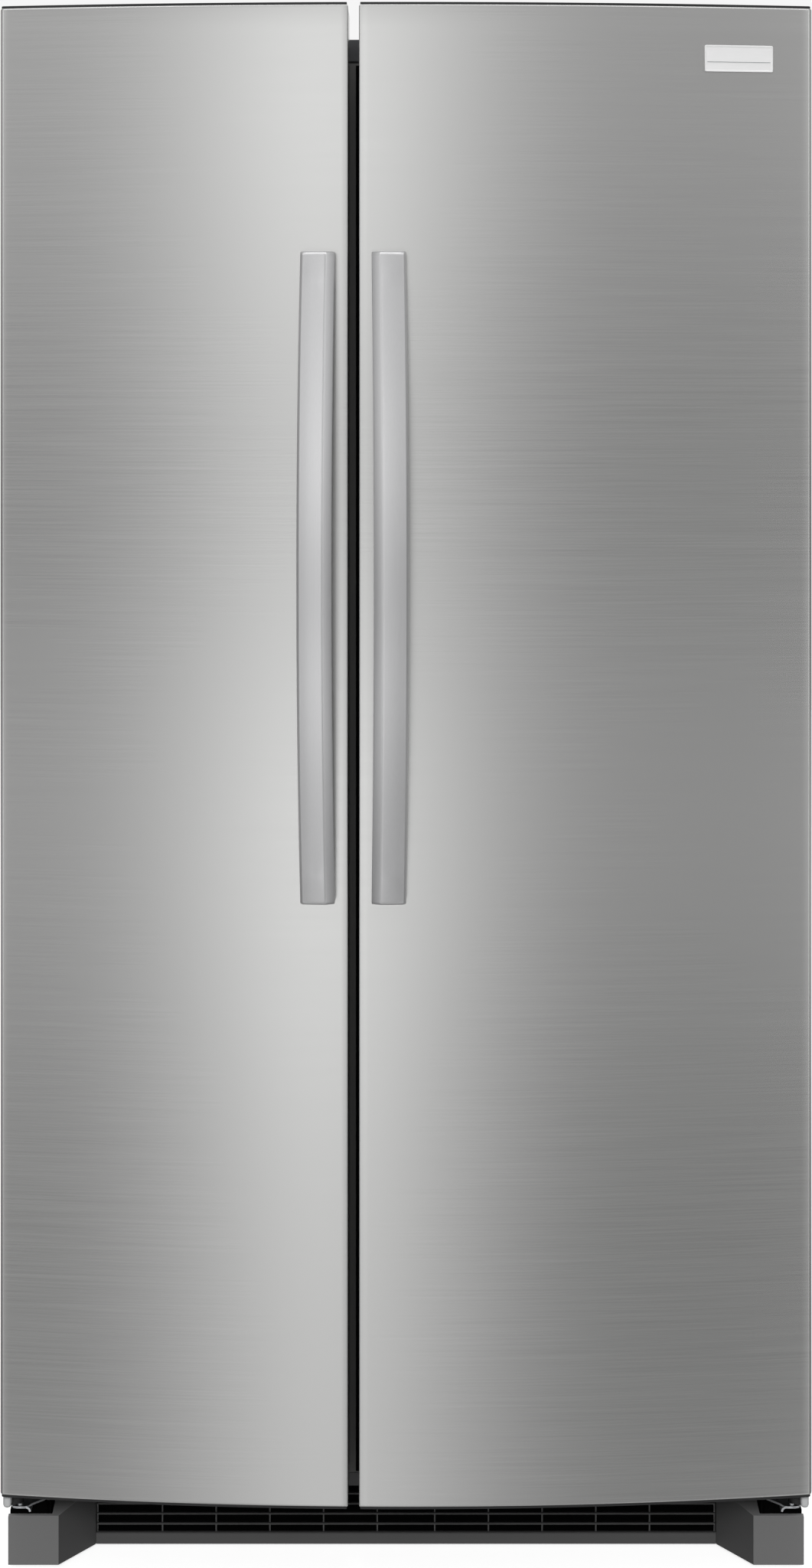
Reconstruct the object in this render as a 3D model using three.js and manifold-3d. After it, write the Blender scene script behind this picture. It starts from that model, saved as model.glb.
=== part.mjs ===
// A free-standing side-by-side refrigerator: a narrow freezer on the left and a wider fresh-food
// compartment on the right, closed by two tall doors whose fronts form one shallow arc.
// Millimetres. +X right, +Y to the back, +Z up. The origin is on the floor, at the centre of the
// overall width and depth.
import * as THREE from "three";
import { mergeVertices } from "three/addons/utils/BufferGeometryUtils.js";
import Module from "manifold-3d";

const wasm = await Module();
wasm.setup();

// ---- Driving dimensions ------------------------------------------------------------------------

const GAP = 0.4; // clearance between pieces that touch in the real object

const DOOR_HALF_WIDTH = 457.2; // 36 in over both doors
const DOOR_BOTTOM = 100;
const DOOR_TOP = 1779;
const DOOR_APEX_Y = -374; // front of the arc, on the centre line
const ARC_RISE = 37; // how far the arc falls back at the outer corners
const DOOR_BACK_Y = -277;
const FREEZER_DOOR = { free: -64.6, hinge: -DOOR_HALF_WIDTH, side: -1 };
const FRESH_DOOR = { free: -52.4, hinge: DOOR_HALF_WIDTH, side: 1 };
const OUTER_CORNER_R = 8;
const INNER_CORNER_R = 4;
const SKIN = 1.2; // door steel
const HINGE_X = 445;
const HINGE_Y = -305;

const CABINET = { half: 455, front: -265, back: 436, bottom: 90, top: 1750 };
const SHEET = 1.5; // cabinet steel
const FREEZER = { left: -403, right: -88 };
const FRESH = { left: -29, right: 408 };
const CAVITY = { bottom: 150, top: 1700, back: 370, humpFront: 150, humpTop: 345 };
const LINER = 2.5;
const MACHINE = { front: 190, bottom: 60, top: 300 }; // the compressor's compartment

const SHELF_FRONT = -140;
const DRAWER_FRONT = -105;
const BIN_BACK = -162; // how far a door bin reaches into the cabinet
const DYKE = { depth: 36, width: 20, hingeGap: 6, freeGap: 12, bottom: 158, top: 1692 };

const HANDLE = { bottom: 777, top: 1500, width: 38.4, thick: 24, bow: 36.8, lean: 3, fromEdge: 14.2 };

const PLINTH = { front: -226, bottom: 4, top: 78.7, half: 360 };
const LEG_COVER = { front: -287, inner: 397.2, back: -170, top: 60.4, backTop: 72, wall: 2.5 };
const LEG = { x: 426, y: -252, footR: 16 };
const ROLLER = { x: 405, y: 380, r: 22, width: 20, boreR: 5.6, axleR: 5 };

// ---- Materials ---------------------------------------------------------------------------------

const finish = (color, roughness, metalness, more = {}) =>
  new THREE.MeshStandardMaterial({ color, roughness, metalness, ...more });

const MATERIALS = {
  stainless: finish(0xb9babb, 0.32, 1.0),
  handle: finish(0xbfc0c1, 0.3, 1.0),
  cabinet: finish(0x55575a, 0.5, 0.2),
  darkTrim: finish(0x2a2b2d, 0.55, 0.1),
  greyPlastic: finish(0x696a6c, 0.5, 0.0),
  plinth: finish(0x3a3b3d, 0.55, 0.0),
  whitePlastic: finish(0xf0f1f1, 0.35, 0.0),
  clearPlastic: finish(0xdfe8ec, 0.12, 0.0, { transparent: true, opacity: 0.4 }),
  glass: finish(0xcfe3e0, 0.05, 0.0, { transparent: true, opacity: 0.35 }),
  gasket: finish(0x3c3d3f, 0.8, 0.0),
  foam: finish(0xe6d9a8, 0.9, 0.0),
  zinc: finish(0xb8babd, 0.35, 0.9),
  blackSteel: finish(0x151617, 0.45, 0.4),
  copper: finish(0xb0703c, 0.35, 0.9),
  aluminium: finish(0xc9cbcd, 0.35, 0.9),
  rubber: finish(0x222222, 0.85, 0.0),
};

// ---- Solids ------------------------------------------------------------------------------------

// A closed three.js geometry as a manifold-3d solid.
function solid(geometry) {
  const bare = geometry.index ? geometry.toNonIndexed() : geometry.clone();
  bare.deleteAttribute("normal");
  bare.deleteAttribute("uv");
  const merged = mergeVertices(bare, 1e-4);
  return new wasm.Manifold(
    new wasm.Mesh({
      numProp: 3,
      vertProperties: merged.attributes.position.array,
      triVerts: new Uint32Array(merged.index.array),
    }),
  );
}

// A manifold-3d solid as a flat-shaded three.js geometry.
function geometryOf(made) {
  const mesh = made.getMesh();
  const corners = new Float32Array(mesh.numVert * 3);
  for (let i = 0; i < mesh.numVert; i++)
    corners.set(mesh.vertProperties.subarray(i * mesh.numProp, i * mesh.numProp + 3), i * 3);
  const geometry = new THREE.BufferGeometry()
    .setAttribute("position", new THREE.BufferAttribute(corners, 3))
    .setIndex(new THREE.BufferAttribute(mesh.triVerts, 1))
    .toNonIndexed();
  geometry.computeVertexNormals();
  return geometry;
}

const join = (...solids) => solids.reduce((a, b) => a.add(b));
const cut = (from, ...tools) => tools.reduce((a, b) => a.subtract(b), from);

// A box given by its span along each axis.
function block([x0, x1], [y0, y1], [z0, z1]) {
  const box = new THREE.BoxGeometry(Math.abs(x1 - x0), Math.abs(y1 - y0), Math.abs(z1 - z0));
  return solid(box.translate((x0 + x1) / 2, (y0 + y1) / 2, (z0 + z1) / 2));
}

// A box with one open side, made by taking a box out of a box.
function openBox([x0, x1], [y0, y1], [z0, z1], wall, open) {
  const inner = [
    [x0 + wall, x1 - wall],
    [y0 + wall, y1 - wall],
    [z0 + wall, z1 - wall],
  ];
  const [axis, end] = { top: [2, 1], front: [1, 0], back: [1, 1] }[open];
  inner[axis][end] += end ? 2 * wall : -2 * wall;
  return cut(block([x0, x1], [y0, y1], [z0, z1]), block(...inner));
}

function extrude(outline, depth) {
  const shape = new THREE.Shape(outline.map(([a, b]) => new THREE.Vector2(a, b)));
  return new THREE.ExtrudeGeometry(shape, { depth, bevelEnabled: false });
}

// Prisms of an outline seen from above (x, y), from the right (y, z) and from the front (x, z).
const planPrism = (outline, z0, z1) => solid(extrude(outline, z1 - z0).translate(0, 0, z0));

function sidePrism(outline, x0, x1) {
  const turn = new THREE.Matrix4().set(0, 0, 1, x0, 1, 0, 0, 0, 0, 1, 0, 0, 0, 0, 0, 1);
  return solid(extrude(outline, x1 - x0).applyMatrix4(turn));
}

function frontPrism(outline, y0, y1) {
  return solid(extrude(outline, y1 - y0).rotateX(Math.PI / 2).translate(0, y1, 0));
}

// A cylinder along x, y or z, between two places on that axis.
function rod(axis, [a, b], radius, from, to, sides = 16) {
  const geometry = new THREE.CylinderGeometry(radius, radius, to - from, sides);
  const middle = (from + to) / 2;
  if (axis === "z") return solid(geometry.rotateX(Math.PI / 2).translate(a, b, middle));
  if (axis === "x") return solid(geometry.rotateZ(-Math.PI / 2).translate(middle, a, b));
  return solid(geometry.translate(a, middle, b));
}

// A turned solid about z: profile holds [radius, height] pairs that start and end on the axis.
function turned(profile, sides = 20) {
  const points = profile.map(([r, h]) => new THREE.Vector2(r, h));
  return solid(new THREE.LatheGeometry(points, sides).rotateX(Math.PI / 2));
}

const arcPoints = (cx, cy, r, from, to, steps) =>
  Array.from({ length: steps + 1 }, (_, i) => {
    const angle = from + ((to - from) * i) / steps;
    return [cx + r * Math.cos(angle), cy + r * Math.sin(angle)];
  });

// ---- Assembly ----------------------------------------------------------------------------------

const refrigerator = new THREE.Group();
const cabinet = new THREE.Group();
const freezerDoor = new THREE.Group();
const freshDoor = new THREE.Group();
refrigerator.add(cabinet, freezerDoor, freshDoor);

function add(group, name, material, made, position = [0, 0, 0]) {
  const mesh = new THREE.Mesh(geometryOf(made), material);
  mesh.name = name;
  mesh.position.set(...position);
  group.add(mesh);
}

const mirrorX = (outline) => outline.map(([x, y]) => [-x, y]).reverse();
const sorted = (a, b) => (a < b ? [a, b] : [b, a]);
const sides = [
  ["left", -1],
  ["right", 1],
];

// ---- Doors -------------------------------------------------------------------------------------

// The door's outline from above: flat back, straight sides, and a front on the shared arc with a
// rounded corner at each end, all moved inwards by inset.
function doorOutline({ free, hinge }, inset, backY) {
  const radius = (DOOR_HALF_WIDTH ** 2 + ARC_RISE ** 2) / (2 * ARC_RISE) - inset;
  const centreY = DOOR_APEX_Y + inset + radius;
  const [x0, x1] = sorted(free, hinge);
  const corner = (x, direction) => {
    const outer = Math.abs(x) > DOOR_HALF_WIDTH - 1;
    const r = (outer ? OUTER_CORNER_R : INNER_CORNER_R) - inset;
    const cx = x + direction * (inset + r);
    const cy = centreY - Math.sqrt((radius - r) ** 2 - cx ** 2);
    return { cx, cy, r, angle: Math.atan2(cy - centreY, cx) };
  };
  const left = corner(x0, 1);
  const right = corner(x1, -1);
  return [
    [x1 - inset, backY],
    [x0 + inset, backY],
    ...arcPoints(left.cx, left.cy, left.r, -Math.PI, left.angle, 4),
    ...arcPoints(0, centreY, radius, left.angle, right.angle, 20).slice(1, -1),
    ...arcPoints(right.cx, right.cy, right.r, right.angle, 0, 4),
  ];
}

// Room for the top hinge in the door's upper rear corner, and for the two hinge pins.
const HINGE_NOTCH = { inboard: 62, front: -324, bottom: 1745 };
function hingeRoom(door, pinHoleR) {
  const outer = door.side * (DOOR_HALF_WIDTH + 5);
  const inner = door.side * (DOOR_HALF_WIDTH - HINGE_NOTCH.inboard);
  const pin = [door.side * HINGE_X, HINGE_Y];
  return [
    block(sorted(inner, outer), [HINGE_NOTCH.front, -250], [HINGE_NOTCH.bottom, DOOR_TOP + 10]),
    rod("z", pin, pinHoleR, HINGE_NOTCH.bottom - 30, HINGE_NOTCH.bottom + 5),
    rod("z", pin, pinHoleR, DOOR_BOTTOM - 10, DOOR_BOTTOM + 30),
  ];
}

function doorSkin(door) {
  const outer = planPrism(doorOutline(door, 0, DOOR_BACK_Y - 2.4), DOOR_BOTTOM, DOOR_TOP);
  const inner = planPrism(doorOutline(door, SKIN, -250), DOOR_BOTTOM + SKIN, DOOR_TOP - SKIN);
  return cut(outer, inner, ...hingeRoom(door, 9));
}

function doorFoam(door) {
  const inset = SKIN + GAP;
  const outline = doorOutline(door, inset, DOOR_BACK_Y - 2.6);
  const core = planPrism(outline, DOOR_BOTTOM + inset, DOOR_TOP - inset);
  return cut(core, ...hingeRoom(door, 6.5));
}

function dykeSpan(door, room) {
  return door.side < 0
    ? [room.left + DYKE.hingeGap, room.right - DYKE.freeGap]
    : [room.left + DYKE.freeGap, room.right - DYKE.hingeGap];
}

// A thermoformed panel: a flat sheet over the foam with a raised frame that carries the bins.
function doorLiner(door, room) {
  const [x0, x1] = sorted(door.free, door.hinge);
  const [d0, d1] = dykeSpan(door, room);
  const w = DYKE.width;
  const back = DOOR_BACK_Y + DYKE.depth;
  const sheet = block([x0 + 3, x1 - 3], [DOOR_BACK_Y - 2.2, DOOR_BACK_Y], [103, 1776]);
  const frame = (inset, front, rear) =>
    cut(
      block([d0 + inset, d1 - inset], [front, rear], [DYKE.bottom + inset, DYKE.top - inset]),
      block(
        [d0 + w - inset, d1 - w + inset],
        [front - 1, rear + 1],
        [DYKE.bottom + w - inset, DYKE.top - w + inset],
      ),
    );
  const ridge = frame(0, DOOR_BACK_Y - 1, back);
  const hollow = frame(2.5, DOOR_BACK_Y - 5, back - 2.5);
  return cut(join(sheet, ridge), hollow, hingeRoom(door, 9)[0]);
}

function doorGasket(door) {
  const hingeSide = door.side * (HINGE_X - 5);
  const [x0, x1] = sorted(hingeSide, door.free + door.side * 6);
  const y = [DOOR_BACK_Y + GAP, CABINET.front - GAP];
  const width = 16;
  return cut(
    block([x0, x1], y, [108, 1740]),
    block([x0 + width, x1 - width], [y[0] - 1, y[1] + 1], [108 + width, 1740 - width]),
  );
}

// The pull: a bar that bows away from the door, broad facet outwards and a bevel on the gap side.
function handleBar(door) {
  const { width, thick, bow, lean, bottom, top } = HANDLE;
  const bevel = 9;
  const outline = [
    [-width / 2, 0],
    [width / 2, 0],
    [width / 2, thick - 5],
    [width / 2 - bevel, thick],
    [0, thick + 0.8],
    [-width / 2 + 3, thick - 1.5],
    [-width / 2, thick - 6],
  ];
  const steps = 24;
  const rings = [];
  for (let i = 0; i <= steps; i++) {
    const along = (2 * i) / steps - 1;
    const arch = 1 - along * along;
    const lift = Math.abs(along) > 0.9 ? 0 : bow * arch;
    const z = (bottom + top) / 2 + (along * (top - bottom)) / 2;
    rings.push(
      outline.map(([across, out]) => [
        door.side * (lean * arch - across),
        -(out ? out + bow * arch : lift),
        z,
      ]),
    );
  }
  return skinOf(door.side < 0 ? rings.map((r) => [...r].reverse()) : rings);
}

// A solid through a row of rings with the same number of corners, closed by a fan at each end.
function skinOf(rings) {
  const corners = rings.flat();
  const n = rings[0].length;
  const faces = [];
  for (let i = 0; i + 1 < rings.length; i++)
    for (let k = 0; k < n; k++) {
      const [a, b] = [i * n + k, i * n + ((k + 1) % n)];
      faces.push([a, b, b + n], [a, b + n, a + n]);
    }
  const last = (rings.length - 1) * n;
  for (let k = 1; k + 1 < n; k++) faces.push([0, k + 1, k], [last, last + k, last + k + 1]);
  const made = new wasm.Manifold(
    new wasm.Mesh({
      numProp: 3,
      vertProperties: new Float32Array(corners.flat()),
      triVerts: new Uint32Array(faces.flat()),
    }),
  );
  if (made.volume() < 0) throw new Error("the rings run the wrong way round");
  return made;
}

// The door's front surface at a given x.
function frontY(x) {
  const radius = (DOOR_HALF_WIDTH ** 2 + ARC_RISE ** 2) / (2 * ARC_RISE);
  return DOOR_APEX_Y + radius - Math.sqrt(radius ** 2 - x ** 2);
}

function addHandle(group, name, door) {
  const centre = door.free + door.side * (HANDLE.fromEdge + HANDLE.width / 2);
  const nearest = Math.abs(centre) - HANDLE.width / 2;
  const y = frontY(Math.max(0, nearest)) - GAP;
  add(group, name, MATERIALS.handle, handleBar(door), [centre, y, 0]);
}

const binSpan = (door, room) => {
  const [d0, d1] = dykeSpan(door, room);
  return [d0 + DYKE.width + 1, d1 - DYKE.width - 1];
};

function addBin(group, name, span, [z0, z1]) {
  const made = openBox(span, [DOOR_BACK_Y + GAP, BIN_BACK], [z0, z1], 3, "top");
  add(group, name, MATERIALS.clearPlastic, made);
}

for (const [group, prefix, door, room] of [
  [freezerDoor, "freezer_door", FREEZER_DOOR, FREEZER],
  [freshDoor, "fresh_door", FRESH_DOOR, FRESH],
]) {
  add(group, `${prefix}_skin`, MATERIALS.stainless, doorSkin(door));
  add(group, `${prefix}_foam`, MATERIALS.foam, doorFoam(door));
  add(group, `${prefix}_liner`, MATERIALS.whitePlastic, doorLiner(door, room));
  add(group, `${prefix}_gasket`, MATERIALS.gasket, doorGasket(door));
  addHandle(group, `${prefix}_handle`, door);
}

const freezerBins = binSpan(FREEZER_DOOR, FREEZER);
addBin(freezerDoor, "freezer_bin_lower", freezerBins, [400, 490]);
addBin(freezerDoor, "freezer_bin_middle", freezerBins, [660, 760]);
addBin(freezerDoor, "freezer_bin_upper", freezerBins, [1010, 1110]);

const freshBins = binSpan(FRESH_DOOR, FRESH);
addBin(freshDoor, "fresh_bin_lower", freshBins, [570, 680]);
addBin(freshDoor, "fresh_bin_middle", freshBins, [850, 960]);
addBin(freshDoor, "fresh_bin_upper", freshBins, [1140, 1250]);

// The dairy compartment is closed on top and opens towards the cabinet, behind a flap.
const DAIRY = { x: [60, 330], z: [1490, 1612], back: -168 };
add(
  freshDoor,
  "dairy_box",
  MATERIALS.clearPlastic,
  openBox(DAIRY.x, [DOOR_BACK_Y + GAP, DAIRY.back], DAIRY.z, 3, "back"),
);
add(
  freshDoor,
  "dairy_flap",
  MATERIALS.clearPlastic,
  block([DAIRY.x[0] + 1, DAIRY.x[1] - 1], [DAIRY.back + 1, DAIRY.back + 4.5], [1492, 1612]),
);

// A blank nameplate near the upper outer corner of the fresh-food door.
const NAMEPLATE = { x: 373.4, z: 1718, width: 78, height: 30, thick: 2.5 };
{
  const x = [NAMEPLATE.x - NAMEPLATE.width / 2, NAMEPLATE.x + NAMEPLATE.width / 2];
  const front = (inset) => x.map((at) => [at, frontY(at) - inset]);
  const outline = [...front(GAP + NAMEPLATE.thick), ...front(GAP).reverse()];
  const z = [NAMEPLATE.z - NAMEPLATE.height / 2, NAMEPLATE.z + NAMEPLATE.height / 2];
  add(freshDoor, "nameplate", MATERIALS.aluminium, planPrism(outline, ...z));
}

// ---- Cabinet shell -----------------------------------------------------------------------------

// Each side is one sheet with its front edge folded inwards as the face that the gasket meets.
for (const [name, s] of sides) {
  const faceEnd = s < 0 ? -FREEZER.left + LINER + GAP : FRESH.right + LINER + GAP;
  const wall = [CABINET.half - SHEET, CABINET.half];
  const outline = [
    [wall[1], CABINET.front],
    [wall[1], CABINET.back - 2.5],
    [wall[0], CABINET.back - 2.5],
    [wall[0], CABINET.front + SHEET],
    [faceEnd, CABINET.front + SHEET],
    [faceEnd, CABINET.front],
  ];
  const placed = s > 0 ? outline : mirrorX(outline);
  const made = planPrism(placed, CABINET.bottom + GAP, CABINET.top - SHEET - GAP);
  add(cabinet, `side_panel_${name}`, MATERIALS.cabinet, made);
}

const TOP_FACE = 25; // how far the top panel's folded front edge reaches down
const FACE_BOTTOM = 102; // lower end of the mullion strip and of the liners' flanges
{
  const { front, back, top } = CABINET;
  const sheet = block([-CABINET.half, CABINET.half], [front, back - 2.5], [top - SHEET, top]);
  const inner = [FREEZER.left - LINER, FRESH.right + LINER];
  const face = block(inner, [front, front + SHEET], [top - TOP_FACE, top - SHEET / 2]);
  add(cabinet, "top_panel", MATERIALS.cabinet, join(sheet, face));
}

add(
  cabinet,
  "back_panel",
  MATERIALS.zinc,
  block([-CABINET.half, CABINET.half], [CABINET.back - 2, CABINET.back], [MACHINE.top, CABINET.top]),
);

add(
  cabinet,
  "mullion_strip",
  MATERIALS.darkTrim,
  block(
    [FREEZER.right + LINER + GAP, FRESH.left - LINER - GAP],
    [CABINET.front, CABINET.front + SHEET],
    [FACE_BOTTOM, CABINET.top - TOP_FACE - 2.5],
  ),
);

// A liner is an open tub with a flange around its mouth; its rear wall steps forward over the
// machine compartment.
const tubOutline = (grow, front) => [
  [front, CAVITY.bottom - grow],
  [CAVITY.humpFront + grow, CAVITY.bottom - grow],
  [CAVITY.humpFront + grow, CAVITY.humpTop - grow],
  [CAVITY.back + grow, CAVITY.humpTop - grow],
  [CAVITY.back + grow, CAVITY.top + grow],
  [front, CAVITY.top + grow],
];
const tub = (room, grow, front) =>
  sidePrism(tubOutline(grow, front), room.left - grow, room.right + grow);

for (const [name, room] of [
  ["freezer_liner", FREEZER],
  ["fresh_food_liner", FRESH],
]) {
  const x = [room.left - LINER, room.right + LINER];
  const y = [CABINET.front, CABINET.front + SHEET];
  const flange = block(x, y, [FACE_BOTTOM, CABINET.top - TOP_FACE - GAP]);
  const outer = join(tub(room, LINER, CABINET.front), flange);
  const shell = cut(outer, tub(room, 0, CABINET.front - 10));
  add(cabinet, name, MATERIALS.whitePlastic, shell);
}

{
  const x = CABINET.half - SHEET - GAP;
  const y = [CABINET.front + SHEET + GAP, CABINET.back - 2 - GAP];
  const mass = block([-x, x], y, [CABINET.bottom + 5, CABINET.top - SHEET - GAP]);
  const grow = LINER + GAP;
  const machine = block([-500, 500], [MACHINE.front, 500], [0, MACHINE.top + 3]);
  const rooms = [FREEZER, FRESH].map((room) => tub(room, grow, CABINET.front - 10));
  add(cabinet, "insulation_foam", MATERIALS.foam, cut(mass, machine, ...rooms));
}

// ---- Base --------------------------------------------------------------------------------------

// The pressed base: a deck under the compartments, a lower bay with its own ceiling for the
// compressor, two side rails, the levelling legs' brackets and the rollers' stub axles.
{
  const half = CABINET.half - 3;
  const sheet = 3;
  const deckTop = CABINET.bottom + GAP - 0.6;
  const panTop = MACHINE.bottom + sheet;
  const lip = [deckTop - sheet, FACE_BOTTOM - GAP];
  const wall = [MACHINE.front + GAP, MACHINE.front + GAP + sheet];
  const parts = [
    block([-half, half], [CABINET.front, wall[1]], [deckTop - sheet, deckTop]),
    block([FREEZER.left, FRESH.right], [CABINET.front, CABINET.front + SHEET], lip),
    block([-half, half], wall, [MACHINE.bottom, MACHINE.top + 2.6]),
    block([-half, half], [wall[0], CABINET.back - 3], [MACHINE.bottom, panTop]),
    block([-half, half], [wall[0], CABINET.back - 3], [MACHINE.top - GAP, MACHINE.top + 2.6]),
  ];
  for (const [, s] of sides) {
    parts.push(block(sorted(s * (half - sheet), s * half), [-165, 433], [34, 88]));
    const tab = [s * (LEG.x - 24), s * half];
    parts.push(block(sorted(...tab), [-275, -160], [74, 78]));
    parts.push(block(sorted(s * (half - sheet), s * half), [-245, -160], [74, 88]));
    const cheek = ROLLER.width / 2 + 3;
    for (const at of [ROLLER.x - cheek, ROLLER.x + cheek])
      parts.push(block(sorted(s * (at - 1.5), s * (at + 1.5)), [360, 400], [10, 62]));
    const axle = sorted(s * (ROLLER.x - cheek), s * (ROLLER.x + cheek));
    parts.push(rod("x", [ROLLER.y, ROLLER.r], ROLLER.axleR, ...axle, 12));
  }
  const holes = sides.map(([, s]) => rod("z", [s * LEG.x, LEG.y], 6.5, 60, 84, 12));
  add(cabinet, "base_frame", MATERIALS.blackSteel, cut(join(...parts), ...holes));
}

// The plinth grille: slim horizontal bars and thin upright ribs between two rails.
{
  const { front, bottom, top, half } = PLINTH;
  const pitch = 11.7;
  const bar = 1.6;
  const rails = [
    frontPrism([[-half, bottom], [half, bottom], [half, bottom + 13.4], [-half, bottom + 13.4]], front, front + 6),
    block([-half, half], [front + 1, front + 6], [top - 6.7, top]),
  ];
  for (let i = 0; i < 4; i++) {
    const z = bottom + 23.1 + i * pitch;
    rails.push(block([-half, half], [front + 1.5, front + 5.5], [z - bar / 2, z + bar / 2]));
  }
  for (let i = -6; i < 6; i++) {
    const x = (i + 0.5) * 62.6 + Math.sign(i + 0.5) * 2.2;
    rails.push(block([x - 0.8, x + 0.8], [front + 3, front + 6], [bottom + 10, top - 2]));
  }
  for (const [, s] of sides)
    rails.push(block(sorted(s * (half - 6), s * half), [front, front + 6], [bottom, top]));
  add(cabinet, "toe_grille", MATERIALS.plinth, join(...rails));
}

// Leg covers: corner shells with a flat face, a side that runs back to the grille and a roof that
// rises towards the cabinet. They are open below and behind, around the levelling legs.
for (const [name, s] of sides) {
  const { front, inner, back, top, backTop, wall } = LEG_COVER;
  const shell = (w, lowest, roof) => {
    const outer = CABINET.half - w;
    const grilleEnd = PLINTH.half + 1 + w;
    const plan = [
      [outer, front + w],
      [outer, back + (w ? 20 : 0)],
      [grilleEnd, back + (w ? 20 : 0)],
      [grilleEnd, PLINTH.front + w * 0.5],
      [inner + w, front + w],
    ].reverse();
    const profile = [
      [front - 5, lowest],
      [back + 30, lowest],
      [back + 30, backTop - roof],
      [PLINTH.front, backTop - roof],
      [front, top - roof],
      [front - 5, top - roof],
    ];
    const tall = planPrism(s > 0 ? plan : mirrorX(plan), lowest, 100);
    return tall.intersect(sidePrism(profile, -500, 500));
  };
  const hingeSlot = block(sorted(s * 405, s * 470), [-282, -160], [50, 90]);
  const made = cut(shell(0, PLINTH.bottom, 0), shell(wall, -5, wall), hingeSlot);
  add(cabinet, `leg_cover_${name}`, MATERIALS.greyPlastic, made);
}

// Levelling legs: a threaded shank with a round foot, screwed up from below.
for (const [name, s] of sides) {
  const made = turned([
    [0, 0],
    [LEG.footR, 0],
    [LEG.footR, 5],
    [10, 9],
    [10, 18],
    [5, 18],
    [5, 77.6],
    [0, 77.6],
  ]);
  add(cabinet, `levelling_leg_${name}`, MATERIALS.zinc, made, [s * LEG.x, LEG.y, 0]);
}

// Rear rollers turn on the base frame's stub axles.
for (const [name, s] of sides) {
  const half = ROLLER.width / 2;
  const made = cut(
    rod("x", [0, 0], ROLLER.r, -half, half, 24),
    rod("x", [0, 0], ROLLER.boreR, -half - 1, half + 1, 16),
  );
  const place = [s * ROLLER.x, ROLLER.y, ROLLER.r];
  add(cabinet, `rear_roller_${name}`, MATERIALS.whitePlastic, made, place);
}

// ---- Hinges ------------------------------------------------------------------------------------

for (const [name, s] of sides) {
  const pin = [s * HINGE_X, HINGE_Y];
  const nose = sorted(s * (HINGE_X - 40), s * (HINGE_X + 8));
  const seat = sorted(s * (HINGE_X - 95), s * (HINGE_X + 8));

  // The top hinge lies on the cabinet and carries a pin down into the door.
  const plateZ = [CABINET.top + GAP, CABINET.top + 4];
  const top = join(
    block(nose, [HINGE_Y - 11, -255], plateZ),
    block(seat, [-262, -165], plateZ),
    rod("z", pin, 5, HINGE_NOTCH.bottom - 22, CABINET.top + 3, 12),
  );
  add(cabinet, `upper_hinge_${name}`, MATERIALS.zinc, top);

  // Its cover is a shallow shell over the plate.
  const over = CABINET.top + 4 + GAP;
  const cover = (w, lid) =>
    join(
      block(sorted(s * (HINGE_X - 46 + w), s * (HINGE_X + 8 - w)), [HINGE_Y - 13 + w, -250], lid),
      block(sorted(s * (HINGE_X - 110 + w), s * (HINGE_X + 8 - w)), [-262 + w, -150 - w], lid),
    );
  const shell = cut(cover(0, [over, over + 21]), cover(2.5, [over - 5, over + 18.5]));
  add(cabinet, `hinge_cover_${name}`, MATERIALS.darkTrim, shell);

  // The bottom hinge is bolted under the base, with a pin up into the door and a closing cam.
  const bottom = join(
    block(sorted(s * (HINGE_X - 36), s * (HINGE_X + 3)), [HINGE_Y - 11, -240], [78.4, 82.4]),
    block(sorted(s * (HINGE_X - 36), s * (HINGE_X + 3)), [-258, -176], [78.4, 86.4]),
    rod("z", pin, 10.5, 80, DOOR_BOTTOM - GAP, 16),
    rod("z", pin, 5, 81, DOOR_BOTTOM + 24, 12),
  );
  add(cabinet, `lower_hinge_${name}`, MATERIALS.zinc, bottom);
}

// ---- Machine compartment -----------------------------------------------------------------------

const PAN_TOP = MACHINE.bottom + 3 + GAP;

{
  const slots = [];
  for (const column of [-1, 1])
    for (let row = 0; row < 9; row++) {
      const z = 110 + row * 19;
      slots.push(block(sorted(column * 70, column * 390), [400, 450], [z, z + 7]));
    }
  const sheet = block([-448, 448], [CABINET.back - 2, CABINET.back], [66, MACHINE.top - 1]);
  const lip = block([-448, 448], [CABINET.back - 14, CABINET.back - 1], [66, 68]);
  const pipe = rod("y", [418, 90], 9, 400, 450, 12);
  add(cabinet, "machine_cover", MATERIALS.zinc, cut(join(sheet, lip), ...slots, pipe));
}

// The compressor: a welded dome on a footed plate.
{
  const dome = turned(
    [
      [0, 12],
      [66, 12],
      [76, 24],
      [78, 78],
      [80, 80],
      [80, 86],
      [77, 88],
      [72, 130],
      [52, 156],
      [22, 166],
      [0, 167],
    ],
    24,
  );
  const feet = block([-95, 95], [-62, 62], [6, 13]);
  const studs = [-80, 80].flatMap((x) => [-48, 48].map((y) => rod("z", [x, y], 11, 0, 7, 12)));
  const box = block([-34, 34], [-104, -60], [40, 105]);
  const made = join(dome, feet, box, ...studs);
  add(cabinet, "compressor", MATERIALS.blackSteel, made, [255, 306, PAN_TOP]);
}

// The condenser: a flat serpentine of tube between two end plates.
{
  const runs = [];
  for (const y of [-40, 40])
    for (let row = 0; row < 5; row++) runs.push(rod("x", [y, 24 + row * 24], 4, -122, 122, 6));
  for (const x of [-120, 120]) runs.push(block([x - 1.5, x + 1.5], [-60, 60], [-28, 138]));
  for (const x of [-60, 0, 60]) runs.push(block([x - 0.8, x + 0.8], [-56, 56], [12, 134]));
  add(cabinet, "condenser_coil", MATERIALS.blackSteel, join(...runs), [-160, 315, PAN_TOP + 28]);
}

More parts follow.
